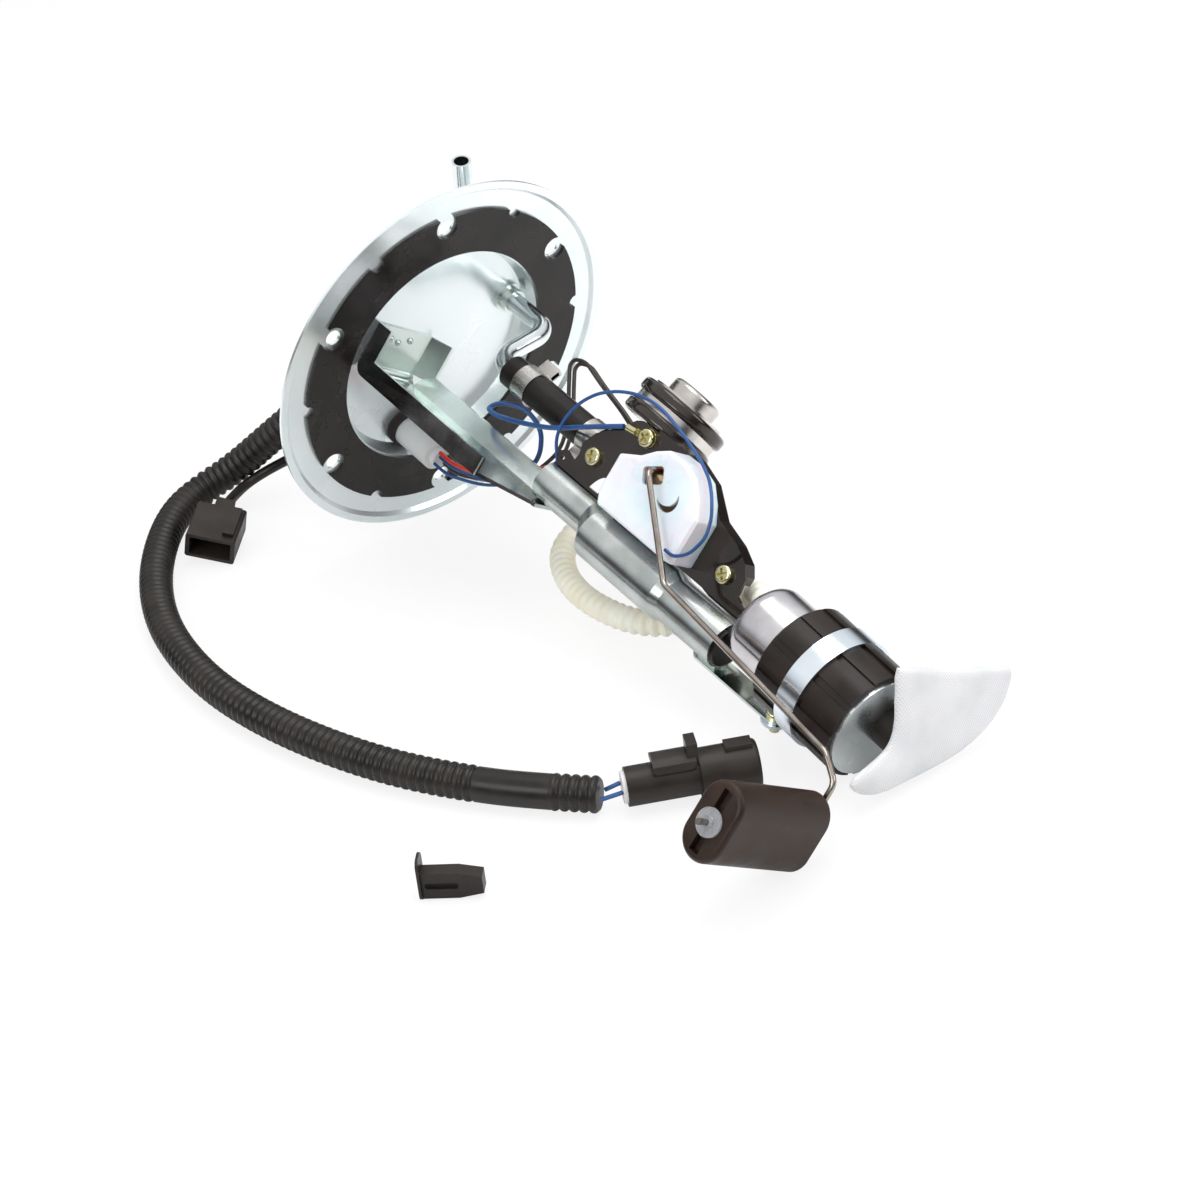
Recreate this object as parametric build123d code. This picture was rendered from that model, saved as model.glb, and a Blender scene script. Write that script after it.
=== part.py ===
from build123d import *
import math
import os

# Fuel pump module, millimetres. The module is drawn along its own axis (X from the flange to the
# pump, Y away from the tube towards the regulator, Z normal to the sender plate), origin at the
# centre of the flange's inner face. It is then laid on a table as it rests there: on the flange's
# rim, the pump's end and the float. The loom, the short lead and the loose clip lie on the table,
# and their points are counted from the point of the table below the flange's centre.

# ---- driving dimensions ----
CLEAR = 0.1              # gap between mating curved faces
SEAT = 0.3               # gap between touching faces of different bodies
SHEET = 1.2              # steel sheet thickness

FLANGE_D = 160.0
RIM_WIDTH = 4.5
RIM_RISE = 1.5
DISH_D = 96.0
DISH_DEPTH = 7.0
DISH_WALL_RUN = 2.0
BOLT_CIRCLE_D = 125.0
BOLT_HOLE_D = 6.6
BOLT_COUNT = 6
BOLT_PHASE = 34.5        # degrees from +Y towards +Z

GASKET_D = 135.0
GASKET_T = 1.5
GASKET_NOTCH_R = 5.2
GASKET_SMALL_NOTCH_R = 3.0

PIPE_D = 8.0
PIPE_WALL = 0.9
PIPE_TO_WALL = 7.33              # from the pipe's axis to the foot of the dish's wall
PIPE_AT_ANGLE = -40.3            # where the pipe passes the flange, from +Y towards +Z
PIPE_OUT = 25.0                  # stand-off of the outer end behind the flange
PIPE_RISE = 55.0                 # length of the outer leg
PIPE_RISE_ANGLE = 41.0           # degrees from +Y towards +Z
PIPE_BEND_R = 9.0
PIPE_FIRST_BEND = 22.0           # distance of the first inner bend from the flange
PIPE_INTO_HOSE = 52.0
COLLAR_H = 6.0
COLLAR_WALL = 2.4

HOSE_Y, HOSE_Z = 13.5, -1.0
HOSE_WALL = 2.7
HOSE_START, HOSE_END = 36.0, 96.0
CLAMP_T = 0.7
CLAMP_WIDTH = 8.0
CLAMP_EAR = 5.0
CLAMP_UPPER_AT, CLAMP_LOWER_AT = 44.0, 86.0

STRUT_Y = -17.0                  # inner face of the strut's web
STRUT_Z = 3.0                    # lower edge of the web across the strut
STRUT_W = 32.0
STRUT_T = 1.5
STRUT_WALL = 8.0
STRUT_LIP = 6.6                  # how far the other wall leans outwards
STRUT_FOOT_TOP = 4.0
STRUT_FULL = 74.0                # where its full width ends
STRUT_END = 93.0
STRUT_TIP_W = 13.0
STRUT_BEND_R = 5.0
DIMPLE_R = 1.4

UPPER_TUBE_R = 8.5
UPPER_TUBE_START, UPPER_TUBE_END = 87.0, 116.0
UPPER_TUBE_Z = 8.0
TROUGH_R = 11.0
TROUGH_Y, TROUGH_Z = -12.0, 9.0
TROUGH_START, TROUGH_STEP, TROUGH_END = 121.0, 165.0, 200.0
TROUGH_NECK_R = 9.6
TUBE_WALL = 1.2

PLATE_Z = 10.4                   # back face of the sender plate
PLATE_T = 1.2
PLATE_RIM = 5.0
SENDER_SCREWS = ((103.5, 11.9), (122.0, 31.4), (184.8, 9.5))
SCREW_D = 4.0
SCREW_HEAD_D = 7.4
SCREW_HEAD_H = 2.4
HOUSING_H = 12.5
HOUSING_WALL = 1.6

PIVOT_X, PIVOT_Y = 142.0, 27.0   # hinge axis of the float arm, along Z
ARM_D = 2.4
ARM_Z = 29.5                     # plane of the arm's first leg
ARM_BEND_R = 5.0
FLOAT_SHIFT = 18.2               # how far the second leg leans out along Z
FLOAT_LENGTH = 52.0
FLOAT_W, FLOAT_H = 18.5, 31.0
FLOAT_X, FLOAT_Y = 295.0, -33.0  # bore of the float
FLOAT_Y_SHIFT = 0.5
FLOAT_GROOVE_W, FLOAT_GROOVE_DEPTH = 4.2, 3.0
RETAINER_D = 10.6
RETAINER_T = 1.0

PUMP_TILT = 2.4                  # degrees, towards -Y
PUMP_X, PUMP_Y, PUMP_Z = 273.0, 1.4, 9.7    # centre of the sleeve's lower end
CAN_D = 34.0
CAN_WALL = 1.0
CAN_LENGTH = 66.0
SLEEVE_D = 44.4
SLEEVE_LENGTH = 43.0
SLEEVE_GROOVES = 12
SLEEVE_GROOVE_W, SLEEVE_GROOVE_DEPTH = 3.0, 0.9
STRAP_W = 9.5
STRAP_FROM_END = 28.0
SPIGOT_D = 8.0
SPIGOT_OFFSET = 10.5
SHAFT_D = 3.0
ROTOR_GAP = 0.8

RETURN_D = 10.6                  # corrugated return hose
RETURN_WALL = 1.5
RETURN_CUFF_D = 8.0
RETURN_OFFSET_Y, RETURN_OFFSET_Z = 4.0, -9.5

REG_X, REG_Y, REG_Z = 114.5, 51.5, -12.0    # centre of the regulator cap's top
REG_ROLL = 18.4                  # its axis leans from +Y towards -Z
REG_CAP_D, REG_CAP_H = 22.0, 7.4
REG_DISC_D = 40.0
REG_DISC_T = 5.6
REG_RING_D, REG_RING_T = 37.0, 3.6
REG_DISC_ROUND = 1.8
REG_STEM_D = 17.0

GLAND_TO_WALL = 8.15             # from the gland's axis to the foot of the dish's wall
GLAND_AT_ANGLE = 192.2
GLAND_D = 13.0
PASS_LENGTH = 24.0

LOOM_D = 14.0
WIRE_D = 1.7
LEAD_D = 4.4

# ---- helpers ----
def polar(radius, degrees):
    """Y and Z of a point round the module's axis, measured from +Y towards +Z."""
    turn = math.radians(degrees)
    return radius * math.cos(turn), radius * math.sin(turn)


def across(x, y=0.0, z=0.0):
    """Sketch plane across the module at x: local x is +Y, local y is +Z."""
    return Plane(origin=(x, y, z), x_dir=(0, 1, 0), z_dir=(1, 0, 0))


def rod(radius, start, end, y=0.0, z=0.0):
    return extrude(across(start, y, z) * Circle(radius), amount=end - start)


def tube(outer, inner, start, end, y=0.0, z=0.0):
    ring = Circle(outer) - Circle(inner)
    return extrude(across(start, y, z) * ring, amount=end - start)


def upright(radius, height, x, y, z):
    """Cylinder along +Z."""
    return Pos(x, y, z) * extrude(Circle(radius), amount=height)


def prism(points, direction, length):
    """Flat outline given by points in space, pushed along a direction."""
    return extrude(make_face(Polyline(*points, close=True)), amount=length, dir=direction)


def runs(points):
    return [(Vector(*b) - Vector(*a)).length for a, b in zip(points, points[1:])]


BEND_SHARE = 0.45                # of the shorter run that an arc may take up


def bend_radii(points):
    """The largest arc that each corner's two runs allow."""
    lengths = runs(points)
    radii = []
    for i in range(1, len(points) - 1):
        before = Vector(*points[i]) - Vector(*points[i - 1])
        after = Vector(*points[i + 1]) - Vector(*points[i])
        turn = math.radians(before.get_angle(after))
        radii.append(BEND_SHARE * min(lengths[i - 1], lengths[i]) / math.tan(turn / 2))
    return radii


def route(points, radii):
    return FilletPolyline(*[Vector(*p) for p in points], radius=radii)


def swept(path, section):
    start = Plane(origin=path @ 0, z_dir=path % 0)
    return sweep(start * section, path=path)


# ---- flange ----
DISH_FLOOR = -DISH_DEPTH
FLOOR_R = DISH_D / 2 - DISH_WALL_RUN
PIPE_Y, PIPE_Z = polar(FLOOR_R - PIPE_TO_WALL, PIPE_AT_ANGLE)
GLAND_Y, GLAND_Z = polar(FLOOR_R - GLAND_TO_WALL, GLAND_AT_ANGLE)


def make_flange():
    rim_r = FLANGE_D / 2
    rim_in = rim_r - RIM_WIDTH
    dish_r = DISH_D / 2
    inner = [(DISH_FLOOR, 0), (DISH_FLOOR, FLOOR_R), (0, dish_r), (0, rim_in),
             (RIM_RISE, rim_in + RIM_RISE), (RIM_RISE, rim_r)]
    outer = [(RIM_RISE - SHEET, rim_r), (RIM_RISE - SHEET, rim_in + RIM_RISE),
             (-SHEET, rim_in), (-SHEET, dish_r + SHEET / 2),
             (DISH_FLOOR - SHEET, FLOOR_R + SHEET / 2), (DISH_FLOOR - SHEET, 0)]
    profile = make_face(Polyline(*(inner + outer), close=True))
    plate = revolve(profile, axis=Axis.X)
    for i in range(BOLT_COUNT):
        y, z = polar(BOLT_CIRCLE_D / 2, BOLT_PHASE + i * 360 / BOLT_COUNT)
        plate -= rod(BOLT_HOLE_D / 2, -5 * SHEET, 5 * SHEET, y, z)
    plate -= rod(PIPE_D / 2 + CLEAR, DISH_FLOOR - 5, DISH_FLOOR + 5, PIPE_Y, PIPE_Z)
    plate -= rod(GLAND_D / 2 + CLEAR, DISH_FLOOR - 5, DISH_FLOOR + 5, GLAND_Y, GLAND_Z)
    return plate


def make_gasket():
    ring = Circle(GASKET_D / 2) - Circle(DISH_D / 2 + 0.5)
    for i in range(2 * BOLT_COUNT):
        bolt = i % 2 == 0
        size = GASKET_NOTCH_R if bolt else GASKET_SMALL_NOTCH_R
        reach = BOLT_CIRCLE_D / 2 + 1.0 if bolt else GASKET_D / 2
        y, z = polar(reach, BOLT_PHASE + i * 180 / BOLT_COUNT)
        ring -= Pos(y, z) * Circle(size)
    return extrude(across(0) * ring, amount=GASKET_T)


# ---- outlet pipe and hose ----
def pipe_points():
    rise_y, rise_z = polar(PIPE_RISE, PIPE_RISE_ANGLE)
    back = DISH_FLOOR - PIPE_OUT
    return [(back, PIPE_Y + rise_y, PIPE_Z + rise_z), (back, PIPE_Y, PIPE_Z),
            (PIPE_FIRST_BEND, PIPE_Y, PIPE_Z), (PIPE_FIRST_BEND + 4, HOSE_Y, HOSE_Z),
            (PIPE_INTO_HOSE, HOSE_Y, HOSE_Z)]


def make_pipe():
    points = pipe_points()
    path = route(points, [PIPE_BEND_R] * (len(points) - 2))
    return swept(path, Circle(PIPE_D / 2)) - swept(path, Circle(PIPE_D / 2 - PIPE_WALL))


def make_collar():
    inner = PIPE_D / 2 + CLEAR
    foot = tube(inner + COLLAR_WALL, inner, DISH_FLOOR, DISH_FLOOR + 2, PIPE_Y, PIPE_Z)
    neck = tube(inner + COLLAR_WALL / 2, inner, DISH_FLOOR, DISH_FLOOR + COLLAR_H,
                PIPE_Y, PIPE_Z)
    return foot + neck


HOSE_IN_R = PIPE_D / 2 + CLEAR
HOSE_OUT_R = HOSE_IN_R + HOSE_WALL


def make_hose():
    return tube(HOSE_OUT_R, HOSE_IN_R, HOSE_START, HOSE_END, HOSE_Y, HOSE_Z)


def make_hose_clamp(at, ear_angle):
    inner = HOSE_OUT_R + CLEAR
    band = tube(inner + CLAMP_T, inner, at, at + CLAMP_WIDTH, HOSE_Y, HOSE_Z)
    ear = Box(CLAMP_WIDTH, CLAMP_EAR + 1, 3.4) - Box(2 * CLAMP_WIDTH, CLAMP_EAR - 1, 2.0)
    turn = Rot(ear_angle, 0, 0) * Pos(0, inner + CLAMP_T + CLAMP_EAR / 2 - 0.5, 0)
    clamp = band + Pos(at + CLAMP_WIDTH / 2, HOSE_Y, HOSE_Z) * turn * ear
    return clamp - rod(inner, at - 1, at + CLAMP_WIDTH + 1, HOSE_Y, HOSE_Z)


# ---- hanger bracket ----
def strut_side(points, z, width):
    """L-shaped side view of the strut, pushed across it."""
    return prism([(x, y, z) for x, y in points], (0, 0, 1), width)


def make_bracket():
    heel_x, heel_y = DISH_FLOOR, STRUT_Y - STRUT_T
    deep = STRUT_WALL
    block = strut_side([(heel_x, STRUT_FOOT_TOP), (heel_x, heel_y), (STRUT_END, heel_y),
                        (STRUT_END, heel_y + deep), (heel_x + deep, heel_y + deep),
                        (heel_x + deep, STRUT_FOOT_TOP)], STRUT_Z, STRUT_W)
    heel = block.edges().filter_by(Axis.Z).sort_by(lambda e: e.center().X + e.center().Y)[0]
    block = fillet(heel, STRUT_BEND_R)
    inside_x, inside_y = heel_x + STRUT_T, STRUT_Y
    room = strut_side([(inside_x, STRUT_FOOT_TOP + 1), (inside_x, inside_y),
                       (STRUT_END + 1, inside_y), (STRUT_END + 1, STRUT_FOOT_TOP + 1)],
                      STRUT_Z - 1, STRUT_W - STRUT_T + 1)
    corner = room.edges().filter_by(Axis.Z).sort_by(lambda e: e.center().X + e.center().Y)[0]
    bracket = block - fillet(corner, STRUT_BEND_R - STRUT_T)
    side = STRUT_Z + STRUT_W
    bracket -= prism([(STRUT_FULL, heel_y - 1, side + 1), (STRUT_FULL, heel_y - 1, side - 1),
                      (STRUT_END - 2, heel_y - 1, STRUT_Z + STRUT_TIP_W),
                      (STRUT_END + 1, heel_y - 1, STRUT_Z + STRUT_TIP_W),
                      (STRUT_END + 1, heel_y - 1, side + 1)], (0, 1, 0), 40)
    # wall that leans outwards, along the strut and up the foot
    z_in, z_out = STRUT_Z, STRUT_Z - STRUT_LIP
    strip = [(0, z_in), (0, z_in + STRUT_T), (STRUT_T, z_in + STRUT_T),
             (deep, z_out + STRUT_T), (deep, z_out)]
    bracket += prism([(heel_x + STRUT_BEND_R, heel_y + h, z) for h, z in strip], (1, 0, 0),
                     STRUT_END - STRUT_BEND_R - heel_x - 3)
    bracket += prism([(heel_x + h, heel_y + STRUT_BEND_R, z) for h, z in strip], (0, 1, 0),
                     STRUT_FOOT_TOP - heel_y - STRUT_BEND_R)
    for across_z, down in ((12, 4), (18, 6), (23, 5)):
        bracket += Pos(inside_x, STRUT_FOOT_TOP - down, STRUT_Z + across_z) * Sphere(DIMPLE_R)
    return bracket


# ---- tube that carries the sender and the pump ----
UPPER_TUBE_Y = STRUT_Y + UPPER_TUBE_R


def tube_solid(thinner):
    """The whole tube, with its wall taken off when thinner is not zero."""
    grow = -thinner
    upper = rod(UPPER_TUBE_R + grow, UPPER_TUBE_START - thinner, UPPER_TUBE_END,
                UPPER_TUBE_Y, UPPER_TUBE_Z)
    swell = loft([across(UPPER_TUBE_END, UPPER_TUBE_Y, UPPER_TUBE_Z) * Circle(UPPER_TUBE_R + grow),
                  across(TROUGH_START, TROUGH_Y, TROUGH_Z) * Circle(TROUGH_R + grow)])
    wide = rod(TROUGH_R + grow, TROUGH_START, TROUGH_STEP, TROUGH_Y, TROUGH_Z)
    neck_r = TROUGH_NECK_R + grow
    step = loft([across(TROUGH_STEP, TROUGH_Y, TROUGH_Z) * Circle(TROUGH_R + grow),
                 across(TROUGH_STEP + 4, TROUGH_Y, TROUGH_Z) * Circle(neck_r)])
    neck = rod(neck_r, TROUGH_STEP + 4, TROUGH_END + thinner, TROUGH_Y, TROUGH_Z)
    return upper + swell + wide + step + neck


BRANCH_D = 9.0


def make_lower_tube():
    return tube_solid(0) - tube_solid(TUBE_WALL)


TONGUE_W = 9.0
TONGUE_FROM = 184.0
EAR_X = 229.8
EAR_T = 1.5
EAR_R = 5.6
EAR_ARM_W = 8.0
STRAP_SCREW_LENGTH = 5.0
TONGUE_DROP = 2.7                # the tongue's top below the tube, on a welded pad
TONGUE_PAD_END = TROUGH_END - 2
RECESS_L, RECESS_W, RECESS_DEPTH = 4.6, 1.1, 1.5


def screw_head(turn):
    """Rounded head with a cross recess, seated at the origin and facing +Z."""
    head = extrude(Circle(SCREW_HEAD_D / 2), amount=SCREW_HEAD_H)
    head = fillet(head.edges().group_by(Axis.Z)[-1], SCREW_HEAD_H * 0.45)
    cross = Box(RECESS_L, RECESS_W, 2 * RECESS_DEPTH) + Box(RECESS_W, RECESS_L, 2 * RECESS_DEPTH)
    return head - Pos(0, 0, SCREW_HEAD_H) * Rot(0, 0, turn) * cross


def under_tube(x, below):
    """Frame whose Z points up from the table, on the tube's underside, `below` further down."""
    up_y, up_z = polar(1, ROLL)
    drop = TROUGH_NECK_R + CLEAR + below
    origin = (x, TROUGH_Y - drop * up_y, TROUGH_Z - drop * up_z)
    return Plane(origin=origin, x_dir=(1, 0, 0), z_dir=(0, up_y, up_z))


def make_tongue():
    """Strip welded under the tube, whose free end carries the strap's screw."""
    reach = EAR_X + TONGUE_W / 2
    face = SlotOverall(reach - TONGUE_FROM, TONGUE_W)
    under = TONGUE_DROP + SHEET
    strip = extrude(under_tube((TONGUE_FROM + reach) / 2, under) * face, amount=SHEET)
    pad_length = TONGUE_PAD_END - TONGUE_FROM - TONGUE_W / 2
    pad_face = Rectangle(pad_length, TONGUE_W - 2)
    strip += extrude(under_tube(TONGUE_PAD_END - pad_length / 2, TONGUE_DROP) * pad_face,
                     amount=TONGUE_DROP)
    return strip - extrude(under_tube(EAR_X, 2 * under) * Circle(SCREW_D / 2 + CLEAR), amount=9)


def make_strap_screw():
    length = SHEET + EAR_T + STRAP_SCREW_LENGTH
    shank = extrude(under_tube(EAR_X, TONGUE_DROP + length) * Circle(SCREW_D / 2), amount=length)
    head = under_tube(EAR_X, TONGUE_DROP).location * screw_head(25)
    return shank + head


# ---- sender plate and level sender ----


def tube_top(y, z, radius):
    """Height of a tube's upper side in the plane of the sender plate."""
    return y + math.sqrt(radius ** 2 - (PLATE_Z - z) ** 2)


PLATE_BOTTOM = CLEAR + max(tube_top(TROUGH_Y, TROUGH_Z, TROUGH_R),
                           tube_top(UPPER_TUBE_Y, UPPER_TUBE_Z, UPPER_TUBE_R))
PLATE_OUTLINE = ((86.5, 4.5), (90.0, 7.0), (95.5, 5.2), (96.2, 9.0), (94.8, 13.0), (98.2, 19.5),
                 (107.0, 27.5), (112.5, 34.0), (118.5, 36.9), (146.0, 36.9), (158.0, 33.5),
                 (170.0, 24.5), (182.4, 21.4), (190.0, 17.7), (194.0, 12.5), (194.6, 6.0),
                 (204.6, 2.6), (204.0, PLATE_BOTTOM), (88.5, PLATE_BOTTOM))
PLATE_EARS = ((90.0, 3.3), (201.6, 0.9))
PLATE_EAR_HOLE_D = 1.8
RIM_FROM, RIM_TO = 98.0, 193.0


def outline_prism(points, z, height):
    return prism([(x, y, z) for x, y in points], (0, 0, 1), height)


def make_sender_plate():
    pan = outline_prism(PLATE_OUTLINE, PLATE_Z - PLATE_RIM, PLATE_RIM + PLATE_T)
    corners = pan.edges().filter_by(Axis.Z)
    pan = fillet(corners, 1.0)
    top = pan.faces().sort_by(Axis.Z)[-1]
    hollow = extrude(Pos(0, 0, -PLATE_T) * offset(top, -PLATE_T), amount=-2 * PLATE_RIM)
    pan -= hollow
    keep = Box(RIM_TO - RIM_FROM, 60, 60)
    body = outline_prism(PLATE_OUTLINE, PLATE_Z, PLATE_T)
    body = fillet(body.edges().filter_by(Axis.Z), 1.0)
    rim = pan & (Pos((RIM_FROM + RIM_TO) / 2, 30 + PLATE_BOTTOM + 10, PLATE_Z) * keep)
    plate = body + rim
    for x, y in PLATE_EARS:
        plate -= upright(PLATE_EAR_HOLE_D / 2, 4 * PLATE_T, x, y, PLATE_Z - PLATE_T)
    for x, y in SENDER_SCREWS:
        plate -= upright(SCREW_D / 2 + CLEAR, 4 * PLATE_T, x, y, PLATE_Z - PLATE_T)
    room = reg_rod(REG_STEM_D / 2 + SEAT, REG_STACK, STEM_BOTTOM)
    room += reg_rod(REG_DISC_D / 2 + SEAT, 0, REG_STACK + SEAT)
    return plate - REG_FRAME * room


PLATE_TOP = PLATE_Z + PLATE_T


def screw_along_z(x, y, seat, length, turn):
    return upright(SCREW_D / 2, length, x, y, seat - length) + Pos(x, y, seat) * screw_head(turn)


TERMINAL_T = 0.8
TERMINAL_R = 3.8


def make_sender_screws():
    seats = [PLATE_TOP, PLATE_TOP + TERMINAL_T, PLATE_TOP]
    turns = [25, 70, 40]
    return Compound(children=[screw_along_z(x, y, seat, 6.0 + PLATE_T, turn)
                              for (x, y), seat, turn in zip(SENDER_SCREWS, seats, turns)])


def make_ring_terminal():
    x, y = SENDER_SCREWS[1]
    ring = upright(TERMINAL_R, TERMINAL_T, x, y, PLATE_TOP)
    away = Vector(-11.3, -1.5, 0)
    turn = math.degrees(math.atan2(away.Y, away.X))
    blade = Pos(x, y, PLATE_TOP) * Rot(0, 0, turn) * Pos(5.5, 0, TERMINAL_T / 2) * Box(5, 3, TERMINAL_T)
    crimp = Pos(x, y, PLATE_TOP) * Rot(0, 0, turn) * Pos(8, 0, 1.6) * Rot(0, 90, 0) * Cylinder(1.6, 5)
    barrel = Pos(x, y, PLATE_TOP) * Rot(0, 0, turn) * Pos(9.6, 0, 1.6) * Rot(0, 90, 0) * Cylinder(1.1, 3)
    return ring + blade + crimp - barrel - upright(SCREW_D / 2 + CLEAR, 3, x, y, PLATE_TOP - 1)


HOUSING_OUTLINE = ((122.2, 6.7), (122.3, 23.0), (131.5, 27.7), (136.7, 32.7), (142.4, 36.4),
                   (151.6, 36.6), (159.8, 34.2), (165.8, 28.3), (170.0, 21.8), (169.8, 2.4),
                   (165.0, 1.6), (124.6, 1.6))
HOUSING_BEVEL = 1.1
CAVITY_R = 13.8
CAVITY_X, CAVITY_Y = PIVOT_X + 5.2, PIVOT_Y - 7.0
WINDOW_L, WINDOW_W = 10.0, 7.0   # opening round the arm's bend
WINDOW_TURN = 32.0
CRESCENT_R = 5.2                 # second opening, at the end of the wiper


def make_sender_housing():
    shell = outline_prism(HOUSING_OUTLINE, PLATE_TOP, HOUSING_H)
    shell = fillet(shell.edges().filter_by(Axis.Z), 1.4)
    shell = chamfer(shell.faces().sort_by(Axis.Z)[-1].edges(), HOUSING_BEVEL)
    shell -= upright(CAVITY_R, HOUSING_H - HOUSING_WALL, CAVITY_X, CAVITY_Y, PLATE_TOP)
    front = PLATE_TOP + HOUSING_H
    window = extrude(RectangleRounded(WINDOW_L, WINDOW_W, 1.5), amount=-2 * HOUSING_WALL)
    shell -= Pos(PIVOT_X - 0.3, PIVOT_Y - 2.2, front + 0.1) * Rot(0, 0, WINDOW_TURN) * window
    crescent = upright(CRESCENT_R, 4, PIVOT_X + 11.2, PIVOT_Y - 5.6, front - HOUSING_WALL - 1)
    crescent -= upright(CRESCENT_R + 0.2, 6, PIVOT_X + 9.6, PIVOT_Y - 3.4,
                        front - HOUSING_WALL - 2)
    return shell - crescent


def make_resistor_card():
    disc = upright(CAVITY_R - 1.3, 0.9, CAVITY_X, CAVITY_Y, PLATE_TOP + 1.0)
    disc -= upright(ARM_D / 2 + 1.2, 3, PIVOT_X, PIVOT_Y, PLATE_TOP)
    stand = upright(2.0, 1.0, CAVITY_X + 8.5, CAVITY_Y - 5, PLATE_TOP)
    return disc + stand


def make_wiper():
    hub = upright(3.4, 5.0, PIVOT_X, PIVOT_Y, PLATE_TOP + 2.4)
    blade = Pos(PIVOT_X + 3.0, PIVOT_Y - 2.6, PLATE_TOP + 3.2) * Rot(0, 0, -41) * Box(8, 3, 0.5)
    contact = upright(1.0, 1.0, PIVOT_X + 5.0, PIVOT_Y - 4.3, PLATE_TOP + 2.1)
    return hub + blade + contact - upright(ARM_D / 2 + 0.02, 9, PIVOT_X, PIVOT_Y, PLATE_TOP)


# ---- float arm, float ----
FLOAT_ARM_Z = ARM_Z + FLOAT_SHIFT
END_BEND_R = 3.0
FLOAT_FROM_Z = FLOAT_ARM_Z + END_BEND_R + SEAT


def arm_points():
    return [(PIVOT_X, PIVOT_Y, PLATE_TOP + 1.0), (PIVOT_X, PIVOT_Y, ARM_Z),
            (175.5, -3.5, ARM_Z), (FLOAT_X - 10, -5.3, FLOAT_ARM_Z),
            (FLOAT_X, -12.0, FLOAT_ARM_Z), (FLOAT_X, FLOAT_Y, FLOAT_ARM_Z),
            (FLOAT_X, FLOAT_Y, FLOAT_FROM_Z + FLOAT_LENGTH + 7)]


def make_float_arm():
    path = route(arm_points(), [END_BEND_R, ARM_BEND_R, 6.0, 5.0, END_BEND_R])
    return swept(path, Circle(ARM_D / 2))


def make_float():
    outline = SlotOverall(FLOAT_H, FLOAT_W)
    middle = Pos(FLOAT_X, FLOAT_Y + FLOAT_Y_SHIFT, FLOAT_FROM_Z) * Rot(0, 0, 90) * outline
    block = extrude(middle, amount=FLOAT_LENGTH)
    block = fillet(block.faces().sort_by(Axis.Z)[-1].edges(), 2.0)
    groove = Pos(FLOAT_X, FLOAT_Y + FLOAT_Y_SHIFT, FLOAT_FROM_Z + FLOAT_LENGTH) * Box(
        FLOAT_GROOVE_W, FLOAT_H - 6, 2 * FLOAT_GROOVE_DEPTH)
    return block - groove - upright(ARM_D / 2 + 0.05, 90, FLOAT_X, FLOAT_Y, FLOAT_FROM_Z - 5)


def make_float_retainer():
    z = FLOAT_FROM_Z + FLOAT_LENGTH + SEAT
    disc = upright(RETAINER_D / 2, RETAINER_T, FLOAT_X, FLOAT_Y, z)
    hub = upright(2.4, 2 * RETAINER_T, FLOAT_X, FLOAT_Y, z)
    return disc + hub - upright(ARM_D / 2 + 0.02, 8, FLOAT_X, FLOAT_Y, z - 2)


# ---- pump ----
CAN_R = CAN_D / 2
SLEEVE_R = SLEEVE_D / 2
CAN_TOP = -CAN_LENGTH            # pump's own frame: X = 0 at the lower end, towards the inlet
PUMP_FRAME = Pos(PUMP_X, PUMP_Y, PUMP_Z) * Rot(0, 0, -PUMP_TILT)
DOME_R = 6.0
INLET_FACE = 1.5
SPIGOT_H = 6.0
SPIGOTS = ((-SPIGOT_OFFSET, 0, SPIGOT_D), (RETURN_OFFSET_Y, RETURN_OFFSET_Z, RETURN_CUFF_D - 2 * CLEAR))


def make_pump_can():
    can = rod(CAN_R, CAN_TOP, 0)
    can = fillet(can.edges().group_by(Axis.X)[0], DOME_R)
    room = rod(CAN_R - CAN_WALL, CAN_TOP + CAN_WALL, 1)
    room = fillet(room.edges().group_by(Axis.X)[0], DOME_R - CAN_WALL)
    can -= room
    for y, z, size in SPIGOTS:
        can -= rod(size / 2 + CLEAR, CAN_TOP - 1, CAN_TOP + DOME_R, y, z)
    return can


def make_outlet_boot():
    """Rubber boot that joins the pump's outlet to the tube's end."""
    outer = TROUGH_NECK_R - TUBE_WALL - CLEAR
    neck = rod(outer, TROUGH_END - 6, TROUGH_END + 1.5, TROUGH_Y, TROUGH_Z)
    bore_r = SPIGOT_D / 2 + CLEAR
    cuff = PUMP_FRAME * rod(bore_r + 0.9, TROUGH_END + 1 - PUMP_X, CAN_TOP - SEAT, -SPIGOT_OFFSET, 0)
    bore = PUMP_FRAME * rod(bore_r, CAN_TOP - SPIGOT_H, CAN_TOP + 1, -SPIGOT_OFFSET, 0)
    passage = rod(2.5, TROUGH_END - 7, TROUGH_END + 2, TROUGH_Y + 3, TROUGH_Z)
    return neck + cuff - bore - passage


def make_outlet_cap():
    body = rod(CAN_R - CAN_WALL - CLEAR, CAN_TOP + DOME_R, CAN_TOP + DOME_R + 4)
    body -= rod(SHAFT_D / 2 + 0.05, CAN_TOP, CAN_TOP + 30)
    cap = body
    for y, z, size in SPIGOTS:
        cap += rod(size / 2, CAN_TOP - SPIGOT_H, CAN_TOP + DOME_R + 1, y, z)
    for y, z, size in SPIGOTS:
        cap -= rod(size / 2 - 1.6, CAN_TOP - SPIGOT_H - 1, CAN_TOP + 30, y, z)
    return cap


MAGNET_T = 2.4
ROTOR_LENGTH = 24.0
ROTOR_AT = -50.0
ROTOR_R = CAN_R - CAN_WALL - CLEAR - MAGNET_T - ROTOR_GAP


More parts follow.
